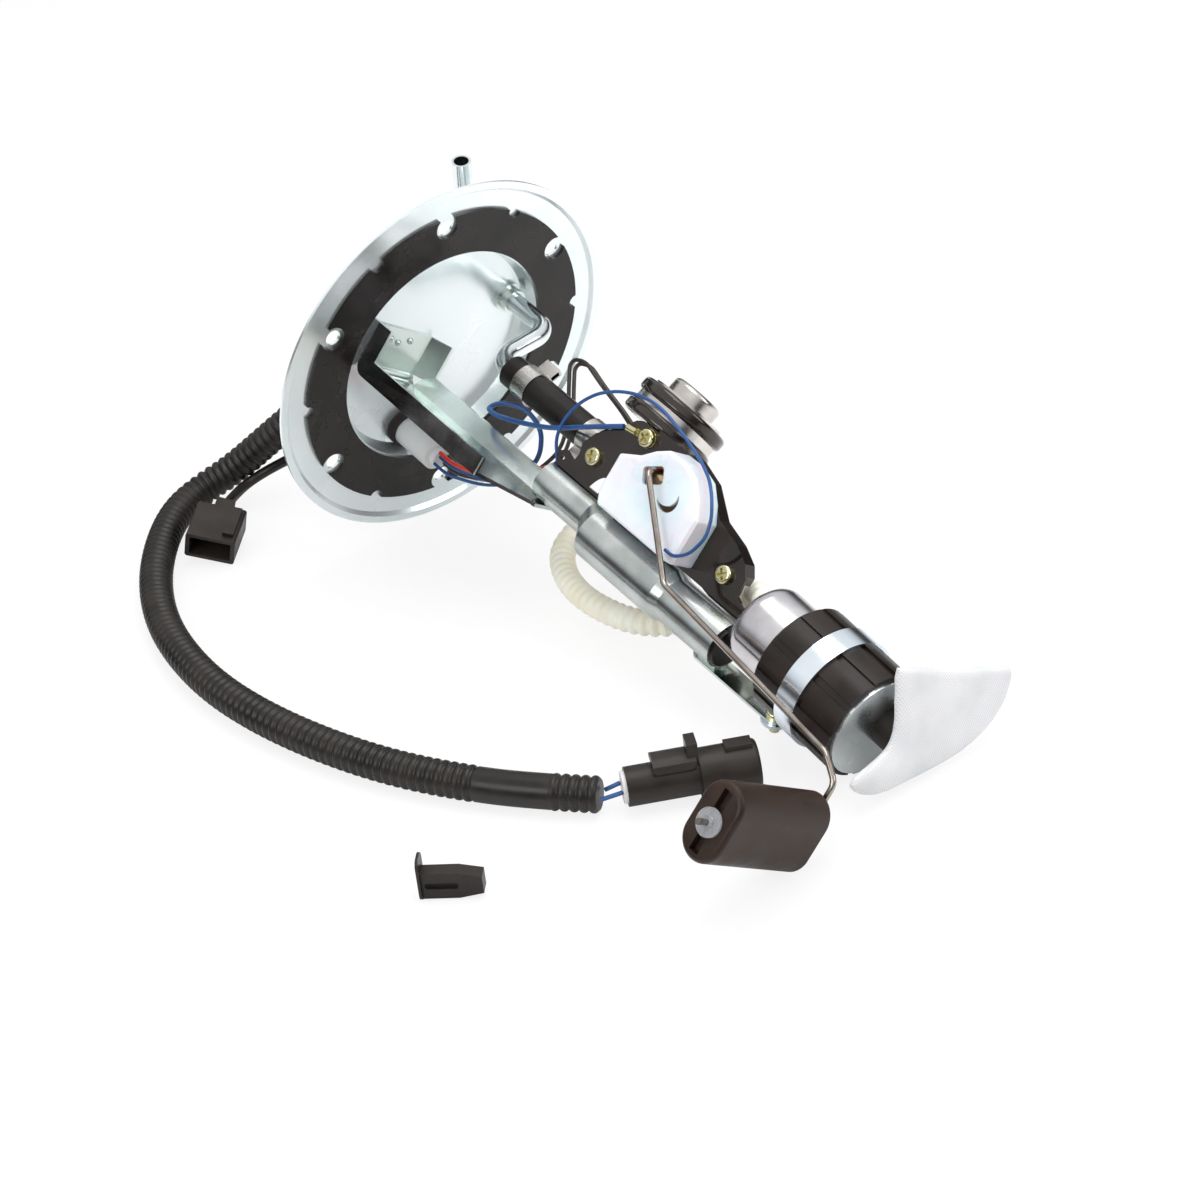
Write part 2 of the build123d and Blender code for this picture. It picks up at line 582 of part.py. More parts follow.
def make_magnets():
    outer = CAN_R - CAN_WALL - CLEAR
    ring = tube(outer, outer - MAGNET_T, ROTOR_AT, ROTOR_AT + ROTOR_LENGTH)
    gaps = Pos(ROTOR_AT + ROTOR_LENGTH / 2, 0, 0) * Box(ROTOR_LENGTH + 2, 9, 60)
    return ring - gaps


def make_armature():
    core = rod(ROTOR_R, ROTOR_AT + 2, ROTOR_AT + ROTOR_LENGTH - 2)
    for i in range(8):
        y, z = polar(ROTOR_R, i * 45)
        slot = Pos(ROTOR_AT + ROTOR_LENGTH / 2, y, z) * Rot(i * 45, 0, 0) * Box(
            ROTOR_LENGTH, 5, 1.6)
        core -= slot
    commutator = rod(4.5, ROTOR_AT - 5, ROTOR_AT + 2)
    shaft = rod(SHAFT_D / 2, CAN_TOP + DOME_R + 1, IMPELLER_AT + IMPELLER_T)
    return core + commutator + shaft


IMPELLER_T = 2.6
IMPELLER_AT = -12.0
IMPELLER_R = 13.0


def make_impeller():
    disc = rod(IMPELLER_R, IMPELLER_AT, IMPELLER_AT + IMPELLER_T)
    for i in range(24):
        y, z = polar(IMPELLER_R, i * 15)
        disc -= Pos(IMPELLER_AT + IMPELLER_T / 2, y, z) * Rot(i * 15, 0, 0) * Box(
            IMPELLER_T + 1, 4, 1.5)
    return disc - rod(SHAFT_D / 2, IMPELLER_AT - 1, IMPELLER_AT + 5)


def make_bearing_plate():
    outer = CAN_R - CAN_WALL - CLEAR
    ring = tube(outer, SHAFT_D / 2 + 0.05, IMPELLER_AT - 5 - SEAT, IMPELLER_AT - SEAT)
    return ring


def make_inlet_body():
    outer = CAN_R - CAN_WALL - CLEAR
    body = rod(outer, IMPELLER_AT - SEAT, 0)
    body -= rod(IMPELLER_R + SEAT, IMPELLER_AT - 1, IMPELLER_AT + IMPELLER_T + SEAT)
    body += rod(SLEEVE_R - 2.0, 0, INLET_FACE)
    body += rod(INLET_R, INLET_FACE, INLET_FACE + INLET_H, INLET_Y, INLET_Z)
    return body - rod(INLET_R - 1.5, IMPELLER_AT + 4, 20, INLET_Y, INLET_Z)


INLET_R, INLET_H = 6.0, 6.0
INLET_Y, INLET_Z = 2.0, -7.0


def make_pump_sleeve():
    body = rod(SLEEVE_R, -SLEEVE_LENGTH, 0)
    body = chamfer(body.edges().group_by(Axis.X)[0], 1.2)
    body -= rod(CAN_R + CLEAR, -SLEEVE_LENGTH - 1, 1)
    for i in range(SLEEVE_GROOVES):
        y, z = polar(SLEEVE_R, 15 + i * 360 / SLEEVE_GROOVES)
        groove = Pos(-SLEEVE_LENGTH / 2, y, z) * Rot(15 + i * 360 / SLEEVE_GROOVES, 0, 0) * Box(
            SLEEVE_LENGTH + 4, 2 * SLEEVE_GROOVE_DEPTH, SLEEVE_GROOVE_W)
        body -= groove
    return body


STRAP_R = SLEEVE_R + CLEAR


def make_pump_strap():
    """Band round the sleeve, with an ear that runs back under the tongue's end."""
    start = -STRAP_FROM_END
    band = PUMP_FRAME * tube(STRAP_R + SHEET, STRAP_R, start, start + STRAP_W)
    arm_from, arm_to = EAR_X, PUMP_X - STRAP_FROM_END + STRAP_W
    level = TONGUE_DROP + SHEET + CLEAR + EAR_T
    face = Pos(0, EAR_ARM_W / 2) * Rectangle(arm_to - arm_from, EAR_ARM_W)
    arm = extrude(under_tube((arm_from + arm_to) / 2, level) * face, amount=EAR_T)
    leg_face = Pos(0, EAR_ARM_W - EAR_T / 2) * Rectangle(STRAP_W, EAR_T)
    leg = extrude(under_tube(arm_to - STRAP_W / 2, level) * leg_face, amount=level + SHEET)
    ear = extrude(under_tube(EAR_X, level) * Circle(EAR_R), amount=EAR_T)
    hole = extrude(under_tube(EAR_X, 2 * level) * Circle(SCREW_D / 2 + CLEAR), amount=9)
    room = PUMP_FRAME * rod(STRAP_R, -SLEEVE_LENGTH - 1, 1)
    return band + (arm + leg + ear - hole - room)


def make_brushes():
    """Two brushes on the commutator."""
    pair = []
    for side in (-1, 1):
        pair.append(Pos(ROTOR_AT - 2, side * (4.5 + CLEAR + 2.5), 0) * Box(4, 5, 3))
    return Compound(children=pair)


# ---- strainer ----
SOCK_X = PUMP_X + 14.5           # where the bag's middle layer crosses the module's axis
SOCK_TILT = 14.0                 # the bag's lower edge leans away from the pump
SOCK_T = 4.4
# corners of the bag's top edge, and points of its curved rim between them: first along the
# table, then up
SOCK_CORNERS = ((-49.5, 14.5), (3.7, 39.4))
SOCK_RIM = ((-46.5, 4.6), (-36.5, -4.8), (-16.0, -10.2), (8.0, -9.6), (24.0, -6.4), (30.4, 0.4),
            (22.0, 5.0), (11.0, 10.0), (7.0, 22.0))
SOCK_BEVEL = 1.4


def sock_frame():
    """Frame of the strainer bag: X along the table, Y up the bag, Z towards the pump."""
    tilt = math.radians(SOCK_TILT)
    along_y, along_z = polar(1, ROLL + 90)
    up_y, up_z = polar(math.cos(tilt), ROLL)
    along = Vector(0, along_y, along_z)
    up = Vector(-math.sin(tilt), up_y, up_z)
    return Plane(origin=(SOCK_X, 0, 0), x_dir=along, z_dir=along.cross(up))


def make_strainer():
    """Flat bag that rests with its lower edge on the table."""
    tip, top = SOCK_CORNERS
    outline = make_face([Spline(tip, *SOCK_RIM, top), Line(top, tip)])
    bag = extrude(sock_frame() * outline, amount=SOCK_T / 2, both=True)
    flat = bag.faces().sort_by(SortBy.AREA)[-2:]
    return chamfer(flat[0].edges() + flat[1].edges(), SOCK_BEVEL)


def make_strainer_frame():
    """Socket of the strainer, pressed over the pump's inlet and cut off along the bag's face."""
    socket = tube(INLET_R + 2.2, INLET_R + CLEAR, INLET_FACE, SOCK_X - PUMP_X + 6, INLET_Y, INLET_Z)
    beyond = sock_frame().offset(SOCK_T / 2 + CLEAR) * Rectangle(90, 90)
    return PUMP_FRAME * socket - extrude(beyond, amount=-20)


# ---- regulator ----
REG_FRAME = Pos(REG_X, REG_Y, REG_Z) * Rot(-REG_ROLL, 0, 0) * Rot(90, 0, 0)
REG_STACK = REG_CAP_H + 2 * REG_DISC_T + REG_RING_T


def reg_rod(radius, top, bottom):
    """Disc on the regulator's axis, between depths below the cap's top."""
    return extrude(Pos(0, 0, top) * Circle(radius), amount=bottom - top)


def make_reg_cap():
    cap = reg_rod(REG_CAP_D / 2, 0, REG_CAP_H)
    cap = fillet(cap.edges().group_by(Axis.Z)[0], 2.0)
    flange = reg_rod(REG_DISC_D / 2 - 4, REG_CAP_H - 1, REG_CAP_H)
    room = reg_rod(REG_CAP_D / 2 - 1.2, 1.2, REG_CAP_H + 1)
    return cap + flange - room


def make_reg_upper():
    disc = reg_rod(REG_DISC_D / 2, REG_CAP_H, REG_CAP_H + REG_DISC_T)
    disc = fillet(disc.edges(), REG_DISC_ROUND)
    return disc - reg_rod(REG_CAP_D / 2 - 1.2, REG_CAP_H - 1, REG_CAP_H + REG_DISC_T + 1)


def make_reg_ring():
    top = REG_CAP_H + REG_DISC_T
    ring = reg_rod(REG_RING_D / 2, top, top + REG_RING_T)
    return ring - reg_rod(REG_CAP_D / 2 - 1.2, top - 1, top + REG_RING_T + 1)


STEM_BOTTOM = REG_Y / math.cos(math.radians(REG_ROLL)) + 1.0


def make_reg_body():
    top = REG_CAP_H + REG_DISC_T + REG_RING_T
    disc = reg_rod(REG_DISC_D / 2, top, top + REG_DISC_T)
    disc = fillet(disc.edges(), REG_DISC_ROUND)
    stem = reg_rod(REG_STEM_D / 2, top + REG_DISC_T, STEM_BOTTOM - 16)
    foot = reg_rod(BRANCH_D / 2, STEM_BOTTOM - 16, STEM_BOTTOM)
    body = REG_FRAME * (disc + stem + foot)
    nipple = rod(HOSE_IN_R - CLEAR, CLAMP_LOWER_AT - 2, REG_X - 2, HOSE_Y, HOSE_Z)
    body += nipple
    body -= rod(HOSE_IN_R - CLEAR - 1.5, CLAMP_LOWER_AT - 3, REG_X - 2, HOSE_Y, HOSE_Z)
    spring_room = REG_FRAME * reg_rod(REG_CAP_D / 2 - 1.2, top - 1, top + 3)
    return body - spring_room - tube_solid(-CLEAR)


def make_reg_diaphragm():
    return reg_rod(REG_CAP_D / 2 - 1.4, REG_CAP_H + REG_DISC_T + 1, REG_CAP_H + REG_DISC_T + 2)


# ---- wire pass-through in the flange ----
def make_gland_ring():
    return tube(GLAND_D / 2 + 1.4, GLAND_D / 2 + CLEAR, DISH_FLOOR, DISH_FLOOR + 4,
                GLAND_Y, GLAND_Z)


def make_pass_connector():
    body = rod(GLAND_D / 2, DISH_FLOOR - 8, DISH_FLOOR + PASS_LENGTH, GLAND_Y, GLAND_Z)
    tail = rod(GLAND_D / 2 - 2.5, DISH_FLOOR + PASS_LENGTH, DISH_FLOOR + PASS_LENGTH + 3,
               GLAND_Y, GLAND_Z)
    return body + tail


BOOT_R = 11.0
BOOT_LENGTH = 13.0
BOOT_END = DISH_FLOOR - SHEET - BOOT_LENGTH


def make_cable_boot():
    """Rubber boot behind the flange, where the loom and the short lead come out."""
    boot = rod(BOOT_R, BOOT_END, DISH_FLOOR - SHEET, GLAND_Y, GLAND_Z)
    boot = fillet(boot.edges().group_by(Axis.X)[-1], 2.0)
    return boot - rod(GLAND_D / 2 + CLEAR, DISH_FLOOR - SHEET - 6.9, 0, GLAND_Y, GLAND_Z)


# ---- corrugated return hose behind the tube ----
def pump_point(x, y, z):
    """A point of the pump's own frame, in the module's frame."""
    spot = PUMP_FRAME * Pos(x, y, z)
    return tuple(spot.position)


def make_return_hose():
    start = pump_point(CAN_TOP - SEAT, RETURN_OFFSET_Y, RETURN_OFFSET_Z)
    away = pump_point(CAN_TOP - 13, RETURN_OFFSET_Y, RETURN_OFFSET_Z)
    points = [start, away, (184, 3, -14), (174, -8, -21), (163, -22, -17), (149, -34, -8),
              (126, -40.5, -7.5), (105, -43, -14), (88, -41, -23), (78, -36, -33), (74, -27, -44)]
    path = route(points, bend_radii(points))
    hose = swept(path, Circle(RETURN_D / 2)) - swept(path, Circle(RETURN_D / 2 - RETURN_WALL))
    seat = PUMP_FRAME * rod(RETURN_CUFF_D / 2, CAN_TOP - SPIGOT_H - 1, CAN_TOP + 1,
                            RETURN_OFFSET_Y, RETURN_OFFSET_Z)
    return hose - seat


# ---- wires inside the tank ----
def wire(points, diameter=WIRE_D):
    path = route(points, bend_radii(points))
    return swept(path, Circle(diameter / 2))


PASS_END = DISH_FLOOR + PASS_LENGTH + 3


def make_ground_wire():
    """Blue wire from the pass-through to the ring terminal, with a loop in it."""
    x, y = SENDER_SCREWS[1]
    points = [(PASS_END, GLAND_Y + 1, GLAND_Z + 1), (PASS_END + 9, GLAND_Y + 1, GLAND_Z + 1),
              (44, -32, -12.5), (53, -24, -16.5), (58.5, -12, -16), (55, -0.5, -12),
              (44.5, 2.8, -8.5), (36, -0.8, -4), (35, -4.6, 0.5), (43, -4, 4), (58, 1, 7.5),
              (76, 8.5, 9.5), (93, 18.8, 13.8), (x - 12.3, y - 2.1, PLATE_TOP + 1.6)]
    return wire(points, WIRE_D * 1.2)


def make_sender_wire():
    """Thin blue wire that runs behind the red one, loops over the sender and ends at its card."""
    front = PLATE_TOP + HOUSING_H
    points = [(PASS_END, GLAND_Y - 2.6, GLAND_Z + 2.4), (PASS_END + 9, GLAND_Y - 2.6, GLAND_Z + 2.4),
              (46, -34, -10.5), (60, -22, -13.5), (72.5, -11, -10), (82, -8, -3), (86, -4.5, 4.5),
              (86.5, 1.5, 10.5), (84.5, 8.5, 14.5), (83.7, 16.2, 15), (86.3, 25.6, 15),
              (92, 33.4, 15), (100.7, 39.6, 15), (110.8, 43.7, 15), (121.6, 44.8, 15),
              (132.4, 43.2, 15), (143.2, 41.2, 16), (153.7, 39.2, 18), (163.5, 36.8, 21.5),
              (171, 33.2, 25), (176.4, 27, front + 1.6), (178.4, 19.5, front + 1.4),
              (175.4, 10.5, front + 1.2), (169.5, 5.8, front + 1.0), (164.5, 5.8, front + 0.8)]
    return wire(points, WIRE_D * 0.8)


def make_dark_wires():
    """Pair of dark wires folded over beside the hose and run to the pump."""
    pair = []
    for shift in (0, 3.2):
        y = GLAND_Y - 1.4 + shift
        z = GLAND_Z - 3
        points = [(PASS_END, y, z), (PASS_END + 9, y, z), (47 + shift, -30.5, -17.5),
                  (58 + shift, -18, -19), (64 + shift, -4, -18), (60 + shift, 8, -17.5),
                  (51 + shift, 19, -18), (44 + shift, 27.5, -19), (52 + shift, 31, -18.5),
                  (66 + shift, 28, -17), (84 + shift, 24, -18), (98 + shift, 17, -21),
                  (120, 6 + shift, -21), (146, -4 + shift, -15), (168, -8 + shift, -11.5),
                  (186, -7 + shift, -8), (200, -6 + shift, -5)]
        pair.append(wire(points, WIRE_D))
    return Compound(children=pair)


def make_red_wire():
    points = [(PASS_END, GLAND_Y + 2.6, GLAND_Z + 2.6), (PASS_END + 9, GLAND_Y + 2.6, GLAND_Z + 2.6),
              (46, -30, -8), (60, -18, -10), (75, -6.5, -6.5), (90, -4, -5), (112, -9, -6.5),
              (140, -14, -8), (168, -14, -6), (188, -11, -4), (200, -9, -3)]
    return wire(points)


# ---- laid on the table ----
ROLL = 35.3                      # the module lies rolled this far about its own axis
PUMP_UP = PUMP_Y * math.cos(math.radians(ROLL)) + PUMP_Z * math.sin(math.radians(ROLL))
LEAN = math.atan((FLANGE_D / 2 + PUMP_UP - SLEEVE_R) / (PUMP_X - RIM_RISE))
FLANGE_UP = FLANGE_D / 2 * math.cos(LEAN) + RIM_RISE * math.sin(LEAN)


def laid():
    """Location that lays the module on the table."""
    roll = math.radians(ROLL)
    axis = Vector(math.cos(LEAN), 0, -math.sin(LEAN))
    up = Vector(math.sin(LEAN), 0, math.cos(LEAN))
    normal = up * math.sin(roll) + Vector(0, -1, 0) * math.cos(roll)
    return Plane(origin=(0, 0, FLANGE_UP), x_dir=axis, z_dir=normal).location


LAY = laid()


def on_table(x, y, z):
    """A point of the module's frame, on the table."""
    return tuple((LAY * Pos(x, y, z)).position)


LOOM_Y, LOOM_Z = GLAND_Y + 1.5, GLAND_Z + 2.5
LOOM_POINTS = [on_table(BOOT_END, LOOM_Y, LOOM_Z), on_table(BOOT_END - 20, LOOM_Y, LOOM_Z),
               (-62, -29, 46), (-76, -44, 30), (-88, -57, 16),
               (-95, -72, 8.5), (-88, -89, 7.3), (-69, -108, 7.3), (-44, -126, 7.3),
               (-15, -140, 7.3), (15, -148, 7.3), (46, -151.5, 7.3), (78, -149.8, 7.3),
               (110, -144, 7.3), (140, -135, 7.3), (166, -123, 7.3), (190, -108.5, 7.3),
               (212, -91, 7.3)]
LEAD_Y, LEAD_Z = GLAND_Y - 6.2, GLAND_Z - 4.4
LEAD_POINTS = [on_table(BOOT_END, LEAD_Y, LEAD_Z), on_table(BOOT_END - 15, LEAD_Y, LEAD_Z),
               (-61, -35, 26), (-79, -48, 14), (-79.5, -62, 10.5), (-68, -75, 12.8)]


def cord(points, diameter):
    radii = bend_radii(points)
    path = route(points, radii)
    body = swept(path, Circle(diameter / 2))
    section = math.pi * diameter ** 2 / 4
    print("cord radii", [round(r) for r in radii], "length", round(path.length, 1),
          "volume against section x length", round(body.volume / (section * path.length), 4))
    return body


def make_loom():
    return cord(LOOM_POINTS, LOOM_D)


def make_lead():
    return cord(LEAD_POINTS, LEAD_D)


CONNECTOR_DIRECTION = (0.479, 0.878, 0)
CONNECTOR_UP = 9.8
CONNECTOR_REAR_R, CONNECTOR_BARREL_R = 7.4, 9.6
CONNECTOR_REAR, CONNECTOR_LENGTH = 27.0, 49.0
CONNECTOR_WALL = 1.6
CONNECTOR_GAP = 9.0              # bare wires between the loom's end and the connector


def connector_frame():
    """Frame of the main connector: X along it from the wires to the mating end."""
    end = Vector(*LOOM_POINTS[-1])
    way = Vector(*CONNECTOR_DIRECTION)
    origin = Vector(end.X, end.Y, CONNECTOR_UP) + way * CONNECTOR_GAP + Vector(1.5, -0.5, 0)
    return Plane(origin=origin, x_dir=way, z_dir=(0, 0, 1)).location


def make_main_connector():
    rear = rod(CONNECTOR_REAR_R, 0, CONNECTOR_REAR)
    hood = Pos(18, 0, CONNECTOR_REAR_R + 1.6) * Box(16, 11, 6)
    hood = fillet(hood.edges().filter_by(Axis.Y), 2.0)
    barrel = rod(CONNECTOR_BARREL_R, CONNECTOR_REAR, CONNECTOR_LENGTH)
    barrel = fillet(barrel.edges().group_by(Axis.X)[-1], 1.5)
    room = rod(CONNECTOR_BARREL_R - CONNECTOR_WALL, CONNECTOR_REAR + 4, CONNECTOR_LENGTH + 1)
    tab = Pos(CONNECTOR_REAR - 2, 0, CONNECTOR_BARREL_R + 1.5) * Box(4, 8, 9)
    latch = Pos(CONNECTOR_LENGTH - 7, 0, CONNECTOR_BARREL_R + 0.4) * Box(10, 6, 2)
    seal_room = rod(CONNECTOR_REAR_R - 1.2, -1, 3)
    body = rear + (hood & rod(CONNECTOR_BARREL_R, 8, 28, 0, 1.5)) + tab + latch + barrel
    return connector_frame() * (body - room - seal_room)


def make_connector_seal():
    seal = rod(CONNECTOR_REAR_R - 1.2 - CLEAR, -1.4, 3)
    return connector_frame() * seal


def make_connector_pins():
    pins = [rod(0.9, CONNECTOR_REAR + 4, CONNECTOR_LENGTH - 8, y, 0) for y in (-3, 3)]
    return connector_frame() * Compound(children=pins)


def make_connector_wires():
    """The two wires between the loom's end face and the connector's seal."""
    end = Vector(*LOOM_POINTS[-1])
    way = (end - Vector(*LOOM_POINTS[-2])).normalized()
    side = Vector(-way.Y, way.X, 0)
    wires = []
    for offset in (-3.2, 3.2):
        start = end + side * offset + way * (WIRE_D / 2)
        finish = connector_frame() * Pos(-1.4 - SEAT, offset, 0)
        span = finish.position - start
        section = Plane(origin=start, z_dir=span) * Circle(WIRE_D / 2)
        wires.append(extrude(section, amount=span.length, dir=span.normalized()))
    return Compound(children=wires)


SMALL_WIDTH, SMALL_LENGTH, SMALL_HEIGHT = 21.0, 21.5, 12.0
SMALL_NECK = 7.0
SMALL_ROOM = 11.5                # depth of its open mating end
SMALL_PITCH = 9.0                # its mating end dips towards the table
SMALL_ROLL = 15.0


def small_connector_frame():
    """Frame of the small connector: X along it, Z out of its upper face."""
    pitch = math.radians(SMALL_PITCH)
    heading = Vector(0.672, -0.740, 0)
    along = heading * math.cos(pitch) + Vector(0, 0, -math.sin(pitch))
    side = Vector(0.740, 0.672, 0)
    tilt = math.radians(SMALL_ROLL)
    lifted = along.cross(side) * math.cos(tilt) + side * math.sin(tilt)
    return Plane(origin=LEAD_POINTS[-1], x_dir=along, z_dir=lifted).location


def lead_side():
    """Block behind the lead's end face, which trims the connector's neck square to the lead."""
    end = Vector(*LEAD_POINTS[-1])
    return extrude(Plane(origin=end, z_dir=Vector(*LEAD_POINTS[-2]) - end) * Rectangle(30, 30), amount=12)


def make_small_connector():
    """Two-pole connector with its neck, latch and open mating end."""
    body = Pos(SMALL_NECK + SMALL_LENGTH / 2, 0, 0) * Box(SMALL_LENGTH, SMALL_WIDTH, SMALL_HEIGHT)
    body = fillet(body.edges().filter_by(Axis.X), 1.2)
    neck = Pos(SMALL_NECK / 2 - 1, 0, 0) * Box(SMALL_NECK + 4, 8, 6.5)
    room = Pos(SMALL_NECK + SMALL_LENGTH, 0, 0) * Box(
        2 * SMALL_ROOM, SMALL_WIDTH - 3.6, SMALL_HEIGHT - 3.2)
    latch = Pos(SMALL_NECK + SMALL_LENGTH * 0.45, SMALL_WIDTH / 2 - 4, SMALL_HEIGHT / 2 + 0.6) * Box(
        SMALL_LENGTH * 0.8, 4.5, 2.0)
    return small_connector_frame() * (body + neck + latch - room) - lead_side()


def make_small_pins():
    """The two blades inside the small connector."""
    start = SMALL_NECK + SMALL_LENGTH - SMALL_ROOM
    blades = [Pos(start + 2.3, y, 0) * Box(4.6, 2.8, 0.8) for y in (-4, 4)]
    return small_connector_frame() * Compound(children=blades)


CLIP_AT = (207.0, -167.0)
CLIP_HEADING = 47.0
CLIP_LEAF, CLIP_LENGTH, CLIP_HEIGHT = 17.0, 22.0, 10.5
CLIP_TIP_H = 7.0
CLIP_DEPTH = 6.0
CLIP_T = 1.0


def make_clip():
    """Push-in clip: a leaf and a slotted shank that tapers to its tip."""
    low = CLIP_HEIGHT / 2
    tip = CLIP_TIP_H / 2
    middle = low + 0.6
    shank = prism([(0, -CLIP_DEPTH / 2, middle - low), (CLIP_LENGTH * 0.6, -CLIP_DEPTH / 2, middle - low),
                   (CLIP_LENGTH, -CLIP_DEPTH / 2, middle - tip), (CLIP_LENGTH, -CLIP_DEPTH / 2, middle + tip),
                   (CLIP_LENGTH * 0.6, -CLIP_DEPTH / 2, middle + low), (0, -CLIP_DEPTH / 2, middle + low)],
                  (0, 1, 0), CLIP_DEPTH)
    slot = Pos(CLIP_LENGTH * 0.33, 0, middle) * Box(CLIP_LENGTH * 0.55, 2 * CLIP_DEPTH, 2.6)
    slot = fillet(slot.edges().filter_by(Axis.Y), 1.2)
    leaf = Pos(-CLIP_T / 2, 0, CLIP_LEAF / 2) * Box(CLIP_T, 9, CLIP_LEAF)
    leaf = fillet(leaf.edges().filter_by(Axis.X), 3.0)
    return Pos(CLIP_AT[0], CLIP_AT[1], 0) * Rot(0, 0, CLIP_HEADING) * (shank - slot + leaf)


MODULE = {
    "mounting_flange": make_flange,
    "flange_gasket": make_gasket,
    "outlet_pipe": make_pipe,
    "pipe_collar": make_collar,
    "fuel_hose": make_hose,
    "hose_clamp_upper": lambda: make_hose_clamp(CLAMP_UPPER_AT, -35),
    "hose_clamp_lower": lambda: make_hose_clamp(CLAMP_LOWER_AT, 150),
    "hanger_bracket": make_bracket,
    "lower_tube": make_lower_tube,
    "pump_tongue": make_tongue,
    "strap_screw": make_strap_screw,
    "pump_strap": make_pump_strap,
    "outlet_boot": make_outlet_boot,
    "sender_plate": make_sender_plate,
    "sender_screws": make_sender_screws,
    "ring_terminal": make_ring_terminal,
    "sender_housing": make_sender_housing,
    "resistor_card": make_resistor_card,
    "wiper": make_wiper,
    "float_arm": make_float_arm,
    "float": make_float,
    "float_retainer": make_float_retainer,
    "strainer_sock": make_strainer,
    "strainer_frame": make_strainer_frame,
    "regulator_body": make_reg_body,
    "gland_ring": make_gland_ring,
    "pass_through_connector": make_pass_connector,
    "cable_boot": make_cable_boot,
    "return_hose": make_return_hose,
    "ground_wire": make_ground_wire,
    "sender_wire": make_sender_wire,
    "dark_wires": make_dark_wires,
    "red_wire": make_red_wire,
}
PUMP = {
    "pump_can": make_pump_can,
    "pump_outlet_cap": make_outlet_cap,
    "pump_magnets": make_magnets,
    "pump_armature": make_armature,
    "pump_impeller": make_impeller,
    "pump_bearing_plate": make_bearing_plate,
    "pump_inlet_body": make_inlet_body,
    "pump_sleeve": make_pump_sleeve,
    "pump_brushes": make_brushes,
}
REGULATOR = {
    "regulator_cap": make_reg_cap,
    "regulator_upper_disc": make_reg_upper,
    "regulator_ring": make_reg_ring,
    "regulator_diaphragm": make_reg_diaphragm,
}
TABLE = {
    "main_connector": make_main_connector,
    "connector_seal": make_connector_seal,
    "connector_pins": make_connector_pins,
    "connector_wires": make_connector_wires,
    "small_connector": make_small_connector,
    "small_connector_pins": make_small_pins,
    "push_in_clip": make_clip,
    "loom": make_loom,
    "small_lead": make_lead,
}
CORD_NODES = ("loom", "small_lead", "main_connector", "connector_seal", "connector_pins",
              "connector_wires", "small_connector", "small_connector_pins")


def build():
    """Every sub-part by name, laid on the table, with the origin below the middle of the module."""
    shapes = {name: LAY * maker() for name, maker in MODULE.items()}
    shapes.update({name: LAY * PUMP_FRAME * maker() for name, maker in PUMP.items()})
    shapes.update({name: LAY * REG_FRAME * maker() for name, maker in REGULATOR.items()})
    shapes.update({name: maker() for name, maker in TABLE.items()})
    boxes = [s.bounding_box() for name, s in shapes.items() if name not in CORD_NODES]
    low = [min(tuple(box.min)[i] for box in boxes) for i in range(3)]
    high = [max(tuple(box.max)[i] for box in boxes) for i in range(3)]
    shift = (-(low[0] + high[0]) / 2, -(low[1] + high[1]) / 2, -low[2])
    print("the point of the table below the flange's centre is at", shift)
    return {name: Pos(*shift) * shape for name, shape in shapes.items()}


if __name__ == "__main__":
    os.makedirs("parts", exist_ok=True)
    for name, shape in build().items():
        export_step(shape, f"parts/{name}.step")
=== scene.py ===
# %% [markdown]
# # Fuel pump module on a white table
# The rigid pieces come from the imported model, already in place and in metres. This script adds
# the camera and the light, dresses every piece in its finish, and builds what solids can't show
# well: the ribbed sleeve of the loom, the corrugated return hose and the strainer's mesh bag.

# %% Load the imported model
import bpy
import math
from mathutils import Matrix, Vector


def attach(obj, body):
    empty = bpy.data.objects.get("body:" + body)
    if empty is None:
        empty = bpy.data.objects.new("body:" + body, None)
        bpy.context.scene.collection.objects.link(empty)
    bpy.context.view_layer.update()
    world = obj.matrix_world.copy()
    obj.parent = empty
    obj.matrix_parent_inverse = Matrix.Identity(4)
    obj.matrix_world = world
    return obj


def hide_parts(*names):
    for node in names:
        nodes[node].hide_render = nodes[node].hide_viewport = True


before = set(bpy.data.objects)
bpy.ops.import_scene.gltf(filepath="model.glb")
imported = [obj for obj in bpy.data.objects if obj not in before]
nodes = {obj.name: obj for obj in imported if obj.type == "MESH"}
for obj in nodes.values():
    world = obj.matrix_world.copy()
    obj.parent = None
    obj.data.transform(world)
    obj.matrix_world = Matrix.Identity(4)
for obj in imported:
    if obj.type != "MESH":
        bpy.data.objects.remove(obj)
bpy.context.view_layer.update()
print("pieces in the model:", len(nodes))

# %% [markdown]
# ## Camera
# A long lens stands a metre and a half away, above the float side, and looks down on the
# module. Its place and its three axes are written as one matrix, because a camera that is rolled
# a little can't be aimed by a target alone.

# %% Camera
TABLE_POINT = Vector((-0.136753, 0.045400, 0.0))   # table point below the flange's centre
CAMERA_AT = TABLE_POINT + Vector((1.0613, -0.6538, 0.6993))
RIGHT = Vector((0.6072, 0.7875, -0.1050)).normalized()
BACK = Vector((0.7111, -0.4797, 0.5140)).normalized()
UP = BACK.cross(RIGHT).normalized()
RIGHT = UP.cross(BACK)

lens = bpy.data.cameras.new("product_camera")
lens.lens = 102.0
lens.sensor_width = 36.0
lens.clip_start = 0.05
camera = bpy.data.objects.new("product_camera", lens)
bpy.context.scene.collection.objects.link(camera)
turned = Matrix((RIGHT, UP, BACK)).transposed().to_4x4()
camera.matrix_world = Matrix.Translation(CAMERA_AT) @ turned
bpy.context.scene.camera = camera
print("camera at", [round(v, 3) for v in CAMERA_AT])

